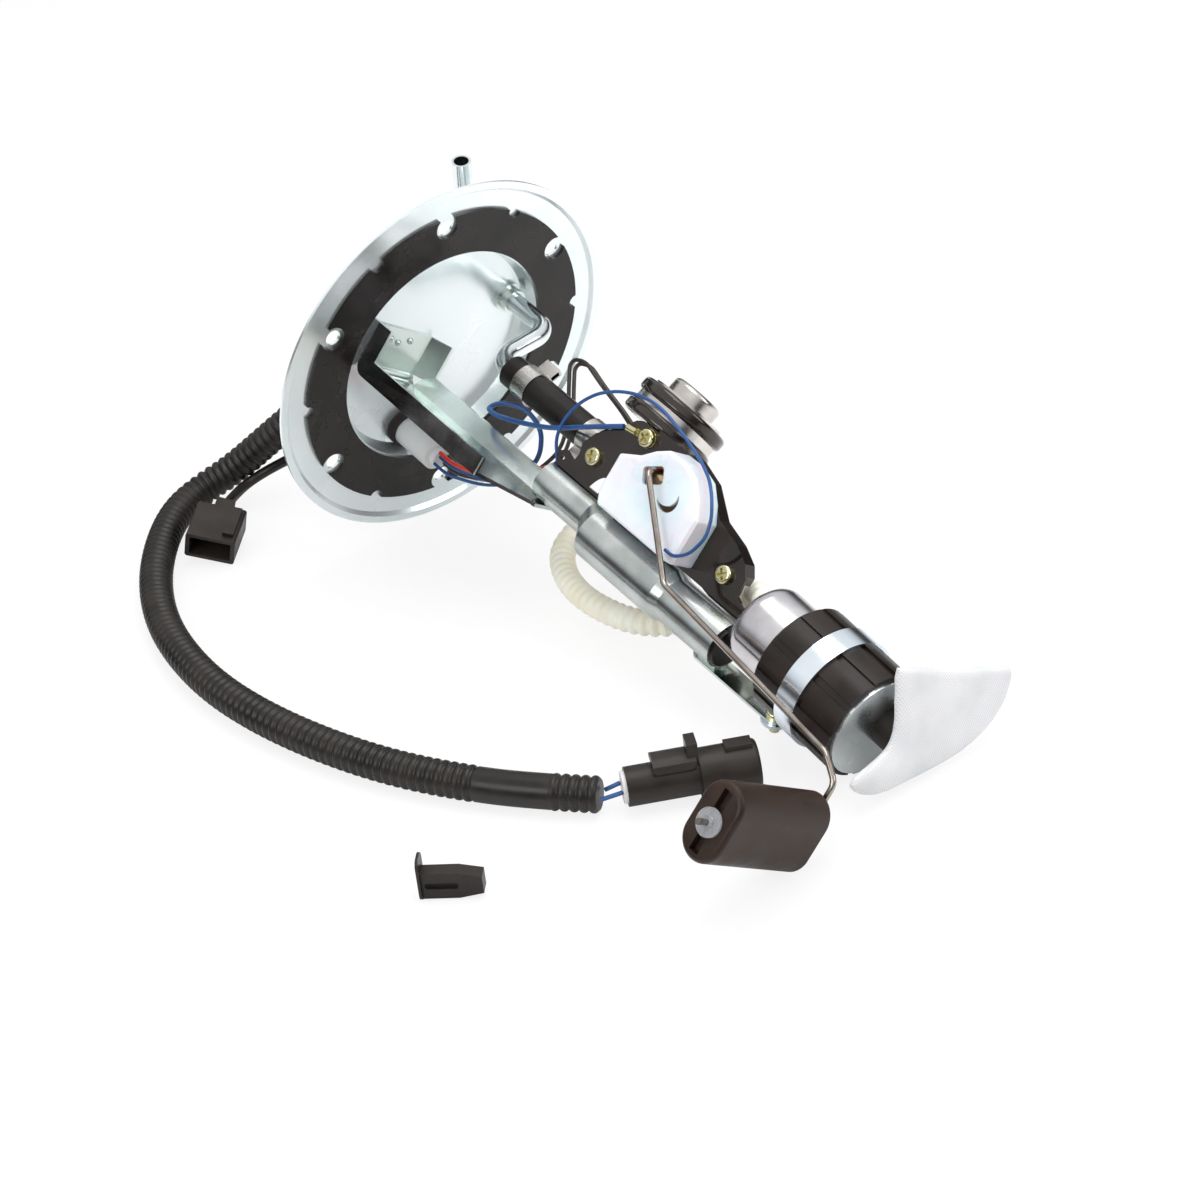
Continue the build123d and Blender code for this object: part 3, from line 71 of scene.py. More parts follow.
# %% [markdown]
# ## The two cords
# The loom and the short lead leave the rubber boot behind the flange, dip to the table and run
# along it. Each is a smooth spline whose control points are the corners of its route. The loom's
# sleeve is split tubing with hundreds of ribs, so it becomes a mesh: a ring of points is carried
# along the spline, and its radius rises and falls with the ribs.

# %% Routes of the cords
LOOM_ROUTE = [(-28.06, -16.03, 51.8), (-47.52, -16.03, 56.43), (-62, -29, 46), (-76, -44, 30),
              (-88, -57, 16), (-95, -72, 8.5), (-88, -89, 7.3), (-69, -108, 7.3),
              (-44, -126, 7.3), (-15, -140, 7.3), (15, -148, 7.3), (46, -151.5, 7.3),
              (78, -149.8, 7.3), (110, -144, 7.3), (140, -135, 7.3), (166, -123, 7.3),
              (190, -108.5, 7.3), (212, -91, 7.3)]
LEAD_ROUTE = [(-30.44, -14.84, 41.81), (-45.03, -14.84, 45.28), (-61, -35, 26),
              (-79, -48, 14), (-79.5, -62, 10.5), (-68, -75, 12.8)]
LOOM_DIAMETER = 0.014
LEAD_DIAMETER = 0.0044


def route_points(route):
    """Route in millimetres from the table point, as points in metres."""
    return [TABLE_POINT + Vector(p) * 0.001 for p in route]


def spline_object(name, points, bevel=0.0):
    """Open NURBS spline through the corners of a route."""
    curve = bpy.data.curves.new(name, "CURVE")
    curve.dimensions = "3D"
    curve.resolution_u = 12
    spline = curve.splines.new("NURBS")
    spline.points.add(len(points) - 1)
    for control, point in zip(spline.points, points):
        control.co = (*point, 1.0)
    spline.order_u = 3
    spline.use_endpoint_u = True
    curve.bevel_depth = bevel
    curve.bevel_resolution = 6
    curve.use_fill_caps = True
    piece = bpy.data.objects.new(name, curve)
    bpy.context.scene.collection.objects.link(piece)
    return piece


def walk(points, step):
    """Points at even steps along a spline, read from Blender's own evaluation of it."""
    guide = spline_object("guide", points)
    guide.data.resolution_u = 40
    bpy.context.view_layer.update()
    graph = bpy.context.evaluated_depsgraph_get()
    line = bpy.data.meshes.new_from_object(guide.evaluated_get(graph))
    trail = [v.co.copy() for v in line.vertices]
    bpy.data.objects.remove(guide)
    bpy.data.meshes.remove(line)
    out = [trail[0]]
    left = step
    for a, b in zip(trail, trail[1:]):
        span = (b - a).length
        done = 0.0
        while span - done >= left:
            done += left
            out.append(a.lerp(b, done / span))
            left = step
        left -= span - done
    return out


def tube_mesh(name, trail, radii, sides=28, closed_ends=True):
    """Mesh tube whose radius is given at every point of its trail."""
    verts, faces = [], []
    side = Vector((0, 0, 1)).cross(trail[1] - trail[0]).normalized()
    for i, point in enumerate(trail):
        ahead = (trail[min(i + 1, len(trail) - 1)] - trail[max(i - 1, 0)]).normalized()
        side = (side - ahead * side.dot(ahead)).normalized()
        upward = ahead.cross(side)
        for k in range(sides):
            turn = 2 * math.pi * k / sides
            verts.append(point + (side * math.cos(turn) + upward * math.sin(turn)) * radii[i])
    for i in range(len(trail) - 1):
        for k in range(sides):
            a, b = i * sides + k, i * sides + (k + 1) % sides
            faces.append((a, b, b + sides, a + sides))
    if closed_ends:
        faces.append(tuple(reversed(range(sides))))
        faces.append(tuple(range(len(verts) - sides, len(verts))))
    mesh = bpy.data.meshes.new(name)
    mesh.from_pydata(verts, [], faces)
    mesh.validate()
    piece = bpy.data.objects.new(name, mesh)
    bpy.context.scene.collection.objects.link(piece)
    for face in mesh.polygons:
        face.use_smooth = len(face.vertices) == 4
    return piece


# %% [markdown]
# The sleeve's ribs are rounded rings with narrow valleys. Towards the connector the sleeve is
# wrapped in a smooth band of tape, then shows a few ribs again, so the radius follows a small
# function of the distance along the cord.

# %% The loom's sleeve
RIB_PITCH = 0.0037
RIB_DEPTH = 0.0011
TAPE_FROM, TAPE_TO = 0.408, 0.438


def rib_radius(distance):
    """Sleeve radius at a distance from the boot."""
    if TAPE_FROM < distance < TAPE_TO:
        return LOOM_DIAMETER / 2 - 0.0003
    phase = (distance / RIB_PITCH) % 1.0
    crest = 0.5 - 0.5 * math.cos(2 * math.pi * phase)
    return LOOM_DIAMETER / 2 - RIB_DEPTH * (1.0 - crest ** 0.45)


rib_step = RIB_PITCH / 7
loom_trail = walk(route_points(LOOM_ROUTE), rib_step)
loom_sleeve = tube_mesh("loom_sleeve", loom_trail,
                        [rib_radius(i * rib_step) for i in range(len(loom_trail))], sides=26)
print("loom length", round(len(loom_trail) * rib_step, 4))

# %% The short lead
lead_sleeve = spline_object("lead_sleeve", route_points(LEAD_ROUTE), bevel=LEAD_DIAMETER / 2)

# %% [markdown]
# ## Return hose
# A pale corrugated hose runs behind the tube. It is held at the pump and made like the loom, with
# wider ribs, along the same corners as its solid.

# %% Return hose
RETURN_ROUTE = [(202.88, 4.56, 36.92), (190.64, 4.87, 40.27), (177.71, 13.16, 30.13),
                (164.96, 12.52, 19.77), (152.15, 1.16, 13.45), (137.47, -13.12, 12.22),
                (113.94, -17.28, 12.66), (92.16, -13.42, 11.88), (74.8, -4.92, 12.34),
                (64.68, 6.13, 13.0), (61.02, 20.31, 14.89)]
RETURN_RADIUS = 0.0053
RETURN_PITCH = 0.0042
RETURN_RIB_DEPTH = 0.0011
RETURN_WALL = 0.0009
CUFF_LENGTH = 0.009             # smooth end pushed over the pump's spigot
CUFF_RADIUS = RETURN_RADIUS - 0.0008
STEPS_PER_RIB = 8


def hose_radius(i, step):
    """Outer radius of the hose at a step along it."""
    if i * step < CUFF_LENGTH:
        return CUFF_RADIUS
    crest = 0.5 - 0.5 * math.cos(2 * math.pi * i / STEPS_PER_RIB)
    return RETURN_RADIUS - RETURN_RIB_DEPTH * (1 - crest ** 0.6)


def only(piece):
    """Deselects everything else and makes this piece the active one."""
    bpy.ops.object.select_all(action="DESELECT")
    piece.select_set(True)
    bpy.context.view_layer.objects.active = piece
    return piece


def apply_modifier(piece, kind, **settings):
    """Adds a modifier to the active piece, sets it and applies it."""
    modifier = piece.modifiers.new(kind.lower(), kind)
    for label, value in settings.items():
        setattr(modifier, label, value)
    bpy.ops.object.modifier_apply(modifier=modifier.name)


hose_step = RETURN_PITCH / STEPS_PER_RIB
hose_trail = walk(route_points(RETURN_ROUTE), hose_step)
hose_radii = [hose_radius(i, hose_step) for i in range(len(hose_trail))]
return_outer = tube_mesh("return_hose_ribbed", hose_trail, hose_radii, sides=26, closed_ends=False)
only(return_outer)
apply_modifier(return_outer, "SOLIDIFY", thickness=RETURN_WALL, offset=-1.0)

# %% [markdown]
# ## Strainer bag
# The bag is a flat pocket of fine mesh, welded round its edge and a little puffed by the spreader
# inside. It starts as a copy of the flat solid, gets an even skin of small faces, and is then
# puffed by Blender's cloth with some pressure, each point moving no further than a set cap.

# %% Strainer bag
def copy_of(node_name, new_name):
    """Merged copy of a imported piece, free to be reshaped."""
    piece = nodes[node_name].copy()
    piece.data = nodes[node_name].data.copy()
    piece.name = new_name
    piece.parent = None
    for key in [k for k in piece.keys() if k.startswith("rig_")]:
        del piece[key]
    bpy.context.scene.collection.objects.link(piece)
    only(piece)
    bpy.ops.object.mode_set(mode="EDIT")
    bpy.ops.mesh.select_all(action="SELECT")
    bpy.ops.mesh.remove_doubles(threshold=0.00001)
    bpy.ops.object.mode_set(mode="OBJECT")
    return piece


SKIN_FACE = 0.0013              # size of the skin's even faces
strainer_bag = copy_of("strainer_sock", "strainer_bag")
apply_modifier(strainer_bag, "REMESH", mode="VOXEL", voxel_size=SKIN_FACE)
apply_modifier(strainer_bag, "SMOOTH", factor=0.5, iterations=7)
print("strainer bag points", len(strainer_bag.data.vertices))

# %% Puff the bag
PUFF_PRESSURE = 4.0
PUFF_FRAMES = 14
PUFF_CAP = 0.0016


def puff(piece, pressure, frames, cap):
    """Runs cloth with pressure on a closed skin; no point moves further than the cap."""
    rest = [v.co.copy() for v in piece.data.vertices]
    cloth = piece.modifiers.new("cloth", "CLOTH")
    cloth.settings.quality = 6
    cloth.settings.mass = 0.05
    cloth.settings.tension_stiffness = 20.0
    cloth.settings.use_pressure = True
    cloth.settings.uniform_pressure_force = pressure
    cloth.settings.effector_weights.gravity = 0.0
    cloth.point_cache.frame_end = frames
    for frame_number in range(1, frames + 1):
        bpy.context.scene.frame_set(frame_number)
    moved = piece.evaluated_get(bpy.context.evaluated_depsgraph_get()).data.vertices
    ends = [v.co.copy() for v in moved]
    piece.modifiers.remove(cloth)
    bpy.context.scene.frame_set(1)
    for vertex, before, after in zip(piece.data.vertices, rest, ends):
        step = after - before
        if step.length > cap:
            step *= cap / step.length
        vertex.co = before + step
    return max((a - b).length for a, b in zip(ends, rest))


wanted = puff(only(strainer_bag), PUFF_PRESSURE, PUFF_FRAMES, PUFF_CAP)
print("cloth pushed up to", round(wanted, 4), "before the cap")
apply_modifier(strainer_bag, "SUBSURF", levels=1, render_levels=1)
bpy.ops.object.shade_smooth()

# %% [markdown]
# ## Finishes
# Three effects are shared by many finishes, so each is a node group that is built once. Grain
# gives a fine bump and a patchy value. Mottle mixes two colours in soft patches. Brushed draws
# fine lines along one axis, as rolling and drawing leave them on steel.

# %% Node helpers
def new_group(name, inputs, outputs):
    """Empty shader node group with named sockets."""
    group = bpy.data.node_groups.new(name, "ShaderNodeTree")
    for label, kind, value in inputs:
        socket = group.interface.new_socket(name=label, in_out="INPUT", socket_type=kind)
        socket.default_value = value
    for label, kind in outputs:
        group.interface.new_socket(name=label, in_out="OUTPUT", socket_type=kind)
    return group, group.nodes.new("NodeGroupInput"), group.nodes.new("NodeGroupOutput")


def noise_in(tree, detail=4.0):
    """Noise texture on object coordinates."""
    place = tree.nodes.new("ShaderNodeTexCoord")
    noise = tree.nodes.new("ShaderNodeTexNoise")
    noise.inputs["Detail"].default_value = detail
    tree.links.new(place.outputs["Object"], noise.inputs["Vector"])
    return place, noise


# %% Grain group
grain, grain_in, grain_out = new_group(
    "Grain",
    [("Scale", "NodeSocketFloat", 800.0), ("Strength", "NodeSocketFloat", 0.1),
     ("Patch Scale", "NodeSocketFloat", 40.0), ("Low", "NodeSocketFloat", 0.3),
     ("High", "NodeSocketFloat", 0.5)],
    [("Value", "NodeSocketFloat"), ("Normal", "NodeSocketVector")])
_, fine = noise_in(grain)
grain.links.new(grain_in.outputs["Scale"], fine.inputs["Scale"])
bump = grain.nodes.new("ShaderNodeBump")
bump.inputs["Distance"].default_value = 0.0002
grain.links.new(grain_in.outputs["Strength"], bump.inputs["Strength"])
grain.links.new(fine.outputs["Fac"], bump.inputs["Height"])
_, patch = noise_in(grain, 3.0)
grain.links.new(grain_in.outputs["Patch Scale"], patch.inputs["Scale"])
spread = grain.nodes.new("ShaderNodeMapRange")
spread.inputs["From Min"].default_value = 0.35
spread.inputs["From Max"].default_value = 0.65
grain.links.new(patch.outputs["Fac"], spread.inputs["Value"])
grain.links.new(grain_in.outputs["Low"], spread.inputs["To Min"])
grain.links.new(grain_in.outputs["High"], spread.inputs["To Max"])
grain.links.new(spread.outputs["Result"], grain_out.inputs["Value"])
grain.links.new(bump.outputs["Normal"], grain_out.inputs["Normal"])

# %% Mottle group
mottle, mottle_in, mottle_out = new_group(
    "Mottle",
    [("Scale", "NodeSocketFloat", 30.0), ("Colour A", "NodeSocketColor", (0.5, 0.5, 0.5, 1)),
     ("Colour B", "NodeSocketColor", (0.6, 0.6, 0.6, 1))],
    [("Colour", "NodeSocketColor")])
_, cloud = noise_in(mottle, 5.0)
mottle.links.new(mottle_in.outputs["Scale"], cloud.inputs["Scale"])
soften = mottle.nodes.new("ShaderNodeMapRange")
soften.inputs["From Min"].default_value = 0.35
soften.inputs["From Max"].default_value = 0.65
mix = mottle.nodes.new("ShaderNodeMix")
mix.data_type = "RGBA"
mottle.links.new(cloud.outputs["Fac"], soften.inputs["Value"])
mottle.links.new(soften.outputs["Result"], mix.inputs[0])
mottle.links.new(mottle_in.outputs["Colour A"], mix.inputs[6])
mottle.links.new(mottle_in.outputs["Colour B"], mix.inputs[7])
mottle.links.new(mix.outputs[2], mottle_out.inputs["Colour"])

# %% Brushed group
brushed, brushed_in, brushed_out = new_group(
    "Brushed",
    [("Scale", "NodeSocketFloat", 60.0), ("Low", "NodeSocketFloat", 0.2),
     ("High", "NodeSocketFloat", 0.4), ("Strength", "NodeSocketFloat", 0.05)],
    [("Value", "NodeSocketFloat"), ("Normal", "NodeSocketVector")])
place = brushed.nodes.new("ShaderNodeTexCoord")
stretch = brushed.nodes.new("ShaderNodeMapping")
stretch.inputs["Rotation"].default_value = (0.0, -math.radians(13.4), 0.0)
stretch.inputs["Scale"].default_value = (0.06, 1.0, 1.0)
lines = brushed.nodes.new("ShaderNodeTexNoise")
lines.inputs["Detail"].default_value = 6.0
brushed.links.new(place.outputs["Object"], stretch.inputs["Vector"])
brushed.links.new(stretch.outputs["Vector"], lines.inputs["Vector"])
brushed.links.new(brushed_in.outputs["Scale"], lines.inputs["Scale"])
span = brushed.nodes.new("ShaderNodeMapRange")
span.inputs["From Min"].default_value = 0.3
span.inputs["From Max"].default_value = 0.7
line_bump = brushed.nodes.new("ShaderNodeBump")
line_bump.inputs["Distance"].default_value = 0.0002
brushed.links.new(lines.outputs["Fac"], span.inputs["Value"])
brushed.links.new(brushed_in.outputs["Low"], span.inputs["To Min"])
brushed.links.new(brushed_in.outputs["High"], span.inputs["To Max"])
brushed.links.new(brushed_in.outputs["Strength"], line_bump.inputs["Strength"])
brushed.links.new(lines.outputs["Fac"], line_bump.inputs["Height"])
brushed.links.new(span.outputs["Result"], brushed_out.inputs["Value"])
brushed.links.new(line_bump.outputs["Normal"], brushed_out.inputs["Normal"])


# %% [markdown]
# A finish is the Principled shader with one of these groups on its roughness and its normal, and
# the mottle group on its colour. Plating, bare steel, rubber and plastics differ only in numbers.

# %% A finish from its numbers
def finish(name, colours, metal=0.0, rough=(0.3, 0.5), grain_scale=900.0, bump=0.1,
           patch=60.0, drawn=False, **sockets):
    """Material with patchy colour and roughness and a fine bump."""
    material = bpy.data.materials.new(name)
    material.use_nodes = True
    tree = material.node_tree
    shader = tree.nodes["Principled BSDF"]
    shader.inputs["Metallic"].default_value = metal
    colour = tree.nodes.new("ShaderNodeGroup")
    colour.node_tree = mottle
    colour.inputs["Scale"].default_value = patch
    colour.inputs["Colour A"].default_value = (*colours[0], 1)
    colour.inputs["Colour B"].default_value = (*colours[1], 1)
    tree.links.new(colour.outputs["Colour"], shader.inputs["Base Color"])
    surface = tree.nodes.new("ShaderNodeGroup")
    surface.node_tree = brushed if drawn else grain
    surface.inputs["Scale"].default_value = grain_scale
    surface.inputs["Strength"].default_value = bump
    surface.inputs["Low"].default_value = rough[0]
    surface.inputs["High"].default_value = rough[1]
    if not drawn:
        surface.inputs["Patch Scale"].default_value = patch
    tree.links.new(surface.outputs["Value"], shader.inputs["Roughness"])
    tree.links.new(surface.outputs["Normal"], shader.inputs["Normal"])
    for label, value in sockets.items():
        shader.inputs[label.replace("_", " ")].default_value = value
    return material


# %% Steel finishes
bright_zinc = finish("bright_zinc", [(0.56, 0.63, 0.60), (0.70, 0.76, 0.73)], 1.0, (0.14, 0.28),
                     grain_scale=420.0, bump=0.05, patch=26.0)
flange_zinc = finish("flange_zinc", [(0.80, 0.87, 0.88), (0.90, 0.95, 0.96)], 0.8, (0.16, 0.28),
                     grain_scale=300.0, bump=0.04, patch=18.0)
tube_zinc = finish("tube_zinc", [(0.66, 0.72, 0.73), (0.82, 0.86, 0.87)], 1.0, (0.10, 0.22),
                   grain_scale=160.0, bump=0.04, drawn=True)
dull_tube = finish("dull_tube", [(0.40, 0.43, 0.42), (0.58, 0.61, 0.60)], 1.0, (0.18, 0.32),
                   grain_scale=160.0, bump=0.06, drawn=True)
strap_zinc = finish("strap_zinc", [(0.66, 0.74, 0.80), (0.80, 0.86, 0.92)], 1.0, (0.10, 0.20),
                    grain_scale=300.0, bump=0.03, patch=30.0)
can_steel = finish("can_steel", [(0.50, 0.48, 0.50), (0.70, 0.69, 0.71)], 1.0, (0.14, 0.26),
                   grain_scale=120.0, bump=0.03, drawn=True)
bare_steel = finish("bare_steel", [(0.50, 0.47, 0.44), (0.66, 0.63, 0.60)], 1.0, (0.16, 0.28),
                    grain_scale=300.0, bump=0.05, drawn=True)
yellow_zinc = finish("yellow_zinc", [(0.58, 0.52, 0.26), (0.80, 0.76, 0.50)], 1.0, (0.12, 0.26),
                     grain_scale=700.0, bump=0.06, patch=160.0)
arm_steel = finish("arm_steel", [(0.26, 0.22, 0.19), (0.40, 0.36, 0.32)], 1.0, (0.14, 0.28),
                   grain_scale=500.0, bump=0.05, patch=60.0)
dark_steel = finish("dark_steel", [(0.016, 0.011, 0.009), (0.034, 0.025, 0.020)], 0.35,
                    (0.10, 0.20), grain_scale=500.0, bump=0.03, patch=30.0, Coat_Weight=0.4)
# Painted dark reflection: near-black steel for the bracket's outer wall, standing in for the dark
# surroundings it mirrors.
painted_reflection_steel = finish("painted_reflection_steel", [(0.050, 0.046, 0.044), (0.17, 0.16, 0.155)], 1.0,
                      (0.18, 0.34), grain_scale=260.0, bump=0.10, drawn=True)
brass = finish("brass", [(0.72, 0.55, 0.26), (0.80, 0.66, 0.38)], 1.0, (0.18, 0.3))
cast_zinc = finish("cast_zinc", [(0.66, 0.70, 0.70), (0.78, 0.81, 0.81)], 1.0, (0.2, 0.34))

# %% Rubber and plastic finishes
gasket_rubber = finish("gasket_rubber", [(0.010, 0.008, 0.007), (0.020, 0.016, 0.014)], 0.0,
                       (0.16, 0.32), grain_scale=700.0, bump=0.06, Specular_IOR_Level=0.3)
black_rubber = finish("black_rubber", [(0.007, 0.005, 0.004), (0.014, 0.011, 0.009)], 0.0,
                      (0.30, 0.45), grain_scale=900.0, bump=0.08, Specular_IOR_Level=0.3)
sleeve_rubber = finish("sleeve_rubber", [(0.013, 0.009, 0.007), (0.024, 0.017, 0.014)], 0.0,
                       (0.30, 0.44), grain_scale=700.0, bump=0.08, Specular_IOR_Level=0.25)
loom_plastic = finish("loom_plastic", [(0.011, 0.009, 0.008), (0.022, 0.018, 0.015)], 0.0,
                      (0.30, 0.42), grain_scale=900.0, bump=0.08, Specular_IOR_Level=0.3)
connector_plastic = finish("connector_plastic", [(0.016, 0.012, 0.010), (0.030, 0.024, 0.020)],
                           0.0, (0.34, 0.48), grain_scale=1200.0, bump=0.10,
                           Specular_IOR_Level=0.25)
float_foam = finish("float_foam", [(0.022, 0.012, 0.008), (0.036, 0.020, 0.013)], 0.0,
                    (0.36, 0.54), grain_scale=1500.0, bump=0.12, patch=80.0,
                    Specular_IOR_Level=0.25)
milky_plastic = finish("milky_plastic", [(0.76, 0.78, 0.84), (0.86, 0.87, 0.92)], 0.0,
                       (0.26, 0.38), grain_scale=900.0, bump=0.04, Subsurface_Weight=0.6,
                       Subsurface_Scale=0.006)
clear_plastic = finish("clear_plastic", [(0.80, 0.82, 0.86), (0.88, 0.90, 0.93)], 0.0,
                       (0.12, 0.20), grain_scale=900.0, bump=0.03, Transmission_Weight=0.75,
                       IOR=1.45)
card_ceramic = finish("card_ceramic", [(0.46, 0.33, 0.20), (0.60, 0.45, 0.30)], 0.0, (0.35, 0.5))
pale_plastic = finish("pale_plastic", [(0.62, 0.63, 0.63), (0.74, 0.75, 0.75)], 0.0, (0.3, 0.45),
                      Subsurface_Weight=0.2, Subsurface_Scale=0.003)
cream_nylon = finish("cream_nylon", [(0.92, 0.82, 0.66), (0.97, 0.90, 0.79)], 0.0, (0.32, 0.45),
                     grain_scale=700.0, bump=0.05, Subsurface_Weight=0.3, Subsurface_Scale=0.003)
seal_rubber = finish("seal_rubber", [(0.66, 0.66, 0.66), (0.76, 0.76, 0.75)], 0.0, (0.4, 0.55))
blue_wire = finish("blue_wire", [(0.010, 0.060, 0.20), (0.018, 0.085, 0.27)], 0.0, (0.28, 0.4))
red_wire = finish("red_wire", [(0.62, 0.035, 0.015), (0.72, 0.06, 0.025)], 0.0, (0.28, 0.4))
dark_wire = finish("dark_wire", [(0.026, 0.020, 0.018), (0.045, 0.036, 0.032)], 0.0, (0.3, 0.42))

# %% [markdown]
# The strainer is woven from fine nylon threads that run slantwise over the bag. Two sets of
# waves, crossed, give the threads their height. The colour follows that height: crests lighter
# and gaps between threads darker, a painted shade, while a slow noise lightens the weave in
# patches, a painted sheen.

# %% Weave group
weave, weave_in, weave_out = new_group(
    "Weave", [("Threads", "NodeSocketFloat", 900.0), ("Turn", "NodeSocketFloat", 0.6),
              ("Dark", "NodeSocketColor", (0.6, 0.6, 0.6, 1)),
              ("Light", "NodeSocketColor", (0.8, 0.8, 0.8, 1))],
    [("Colour", "NodeSocketColor"), ("Height", "NodeSocketFloat")])
weave_place = weave.nodes.new("ShaderNodeTexCoord")
weave_split = weave.nodes.new("ShaderNodeSeparateXYZ")
weave.links.new(weave_place.outputs["Object"], weave_split.inputs[0])


def math_node(tree, operation, *values):
    """Math node whose inputs are numbers or sockets."""
    node = tree.nodes.new("ShaderNodeMath")
    node.operation = operation
    for socket, value in zip(node.inputs, values):
        if isinstance(value, (int, float)):
            socket.default_value = value
        else:
            tree.links.new(value, socket)
    return node.outputs[0]


def thread_wave(along, upward, sign):
    """Height of one set of threads, from 0 to 1."""
    slant = math_node(weave, "MULTIPLY", upward, weave_in.outputs["Turn"])
    across = math_node(weave, "ADD" if sign > 0 else "SUBTRACT", along, slant)
    phase = math_node(weave, "MULTIPLY", across, weave_in.outputs["Threads"])
    wave = math_node(weave, "SINE", phase)
    return math_node(weave, "MULTIPLY_ADD", wave, 0.5, 0.5)


first_set = thread_wave(weave_split.outputs["Y"], weave_split.outputs["Z"], 1)
second_set = thread_wave(weave_split.outputs["Z"], weave_split.outputs["Y"], -1)
height = math_node(weave, "MAXIMUM", first_set, second_set)
_, painted_sheen_noise = noise_in(weave, 3.0)
painted_sheen_noise.inputs["Scale"].default_value = 55.0
# Painted shade between the threads, from their height, times a slow noise that is a painted sheen.
shade = math_node(weave, "MULTIPLY", height, painted_sheen_noise.outputs["Fac"])
weave_mix = weave.nodes.new("ShaderNodeMix")
weave_mix.data_type = "RGBA"
weave.links.new(math_node(weave, "MULTIPLY", shade, 1.8), weave_mix.inputs[0])
weave.links.new(weave_in.outputs["Dark"], weave_mix.inputs[6])
weave.links.new(weave_in.outputs["Light"], weave_mix.inputs[7])
weave.links.new(weave_mix.outputs[2], weave_out.inputs["Colour"])
weave.links.new(height, weave_out.inputs["Height"])

# %% Mesh cloth
mesh_cloth = bpy.data.materials.new("mesh_cloth")
mesh_cloth.use_nodes = True
tree = mesh_cloth.node_tree
shader = tree.nodes["Principled BSDF"]
shader.inputs["Roughness"].default_value = 0.62
shader.inputs["Subsurface Weight"].default_value = 0.25
shader.inputs["Subsurface Scale"].default_value = 0.002
shader.inputs["Sheen Weight"].default_value = 0.15
threads = tree.nodes.new("ShaderNodeGroup")
threads.node_tree = weave
threads.inputs["Threads"].default_value = 7000.0
threads.inputs["Turn"].default_value = 0.35
threads.inputs["Dark"].default_value = (0.60, 0.61, 0.63, 1)
threads.inputs["Light"].default_value = (0.82, 0.82, 0.83, 1)
thread_bump = tree.nodes.new("ShaderNodeBump")
thread_bump.inputs["Distance"].default_value = 0.0001
thread_bump.inputs["Strength"].default_value = 0.35
tree.links.new(threads.outputs["Colour"], shader.inputs["Base Color"])
tree.links.new(threads.outputs["Height"], thread_bump.inputs["Height"])
tree.links.new(thread_bump.outputs["Normal"], shader.inputs["Normal"])

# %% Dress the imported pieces
FINISH_OF = {
    "mounting_flange": flange_zinc, "hanger_bracket": bright_zinc, "pipe_collar": bright_zinc,
    "lower_tube": dull_tube, "pump_tongue": bright_zinc, "pump_strap": strap_zinc,
    "outlet_pipe": tube_zinc, "pump_can": can_steel, "regulator_cap": bare_steel,
    "hose_clamp_upper": bare_steel, "hose_clamp_lower": bare_steel,
    "regulator_body": dark_steel, "regulator_upper_disc": dark_steel,
    "regulator_ring": bare_steel, "sender_plate": dark_steel, "strap_screw": yellow_zinc,
    "sender_screws": yellow_zinc, "ring_terminal": yellow_zinc, "wiper": brass,
    "connector_pins": brass, "small_connector_pins": brass, "float_arm": arm_steel,
    "pump_armature": arm_steel, "pump_magnets": dark_steel, "pump_brushes": dark_steel,
    "pump_bearing_plate": cast_zinc, "pump_inlet_body": cast_zinc,
    "flange_gasket": gasket_rubber, "fuel_hose": black_rubber, "outlet_boot": black_rubber,
    "cable_boot": black_rubber, "regulator_diaphragm": black_rubber,
    "pump_sleeve": sleeve_rubber, "gland_ring": connector_plastic,
    "pass_through_connector": pale_plastic, "pump_outlet_cap": connector_plastic,
    "pump_impeller": connector_plastic, "resistor_card": card_ceramic,
    "strainer_frame": connector_plastic, "main_connector": connector_plastic,
    "small_connector": connector_plastic, "push_in_clip": connector_plastic,
    "sender_housing": milky_plastic, "float_retainer": clear_plastic, "float": float_foam,
    "connector_seal": seal_rubber, "ground_wire": blue_wire, "sender_wire": blue_wire,
    "connector_wires": blue_wire, "dark_wires": dark_wire, "red_wire": red_wire,
    "strainer_sock": mesh_cloth, "return_hose": cream_nylon, "loom": loom_plastic,
    "small_lead": loom_plastic}
for name, node in nodes.items():
    node.data.materials.clear()
    node.data.materials.append(FINISH_OF[name])
for piece, material in ((loom_sleeve, loom_plastic), (lead_sleeve, loom_plastic),
                        (return_outer, cream_nylon), (strainer_bag, mesh_cloth)):
    piece.data.materials.clear()
    piece.data.materials.append(material)
print("finishes:", len(set(FINISH_OF.values())))

# %% [markdown]
# The outside of the bracket's upright wall gets a much darker steel than the web, a painted
# dark reflection, and so does the slanted side beyond it. The cut edges stay bright. Faces are
# picked by place and direction.

# %% Dark wall of the bracket, a painted dark reflection
ALONG_BRACKET = Vector((0.97288, 0.0, -0.2313))
ACROSS_BRACKET = Vector((0.13366, -0.81614, 0.56219))
FLANGE_CENTRE = TABLE_POINT + Vector((0.0, 0.0, 0.078178))
WALL_FROM = 0.0334              # across the bracket
TAPER_FROM = 0.074              # along the bracket
FACING_OUT = 0.5                # share of the normal that points across the bracket
bracket = nodes["hanger_bracket"]
bracket.data.materials.append(painted_reflection_steel)
bracket_turn = bracket.matrix_world.to_3x3()
shaded = 0
# Faces of the outer wall and the slanted side get the painted dark reflection.
for face in bracket.data.polygons:
    spot = bracket.matrix_world @ face.center - FLANGE_CENTRE
    facing = (bracket_turn @ face.normal).normalized().dot(ACROSS_BRACKET)
    on_wall = spot.dot(ACROSS_BRACKET) > WALL_FROM or spot.dot(ALONG_BRACKET) > TAPER_FROM
    if on_wall and facing > FACING_OUT and spot.dot(ACROSS_BRACKET) > WALL_FROM / 3:
        face.material_index = 1
        shaded += 1
print("shaded faces of the bracket:", shaded, "of", len(bracket.data.polygons))

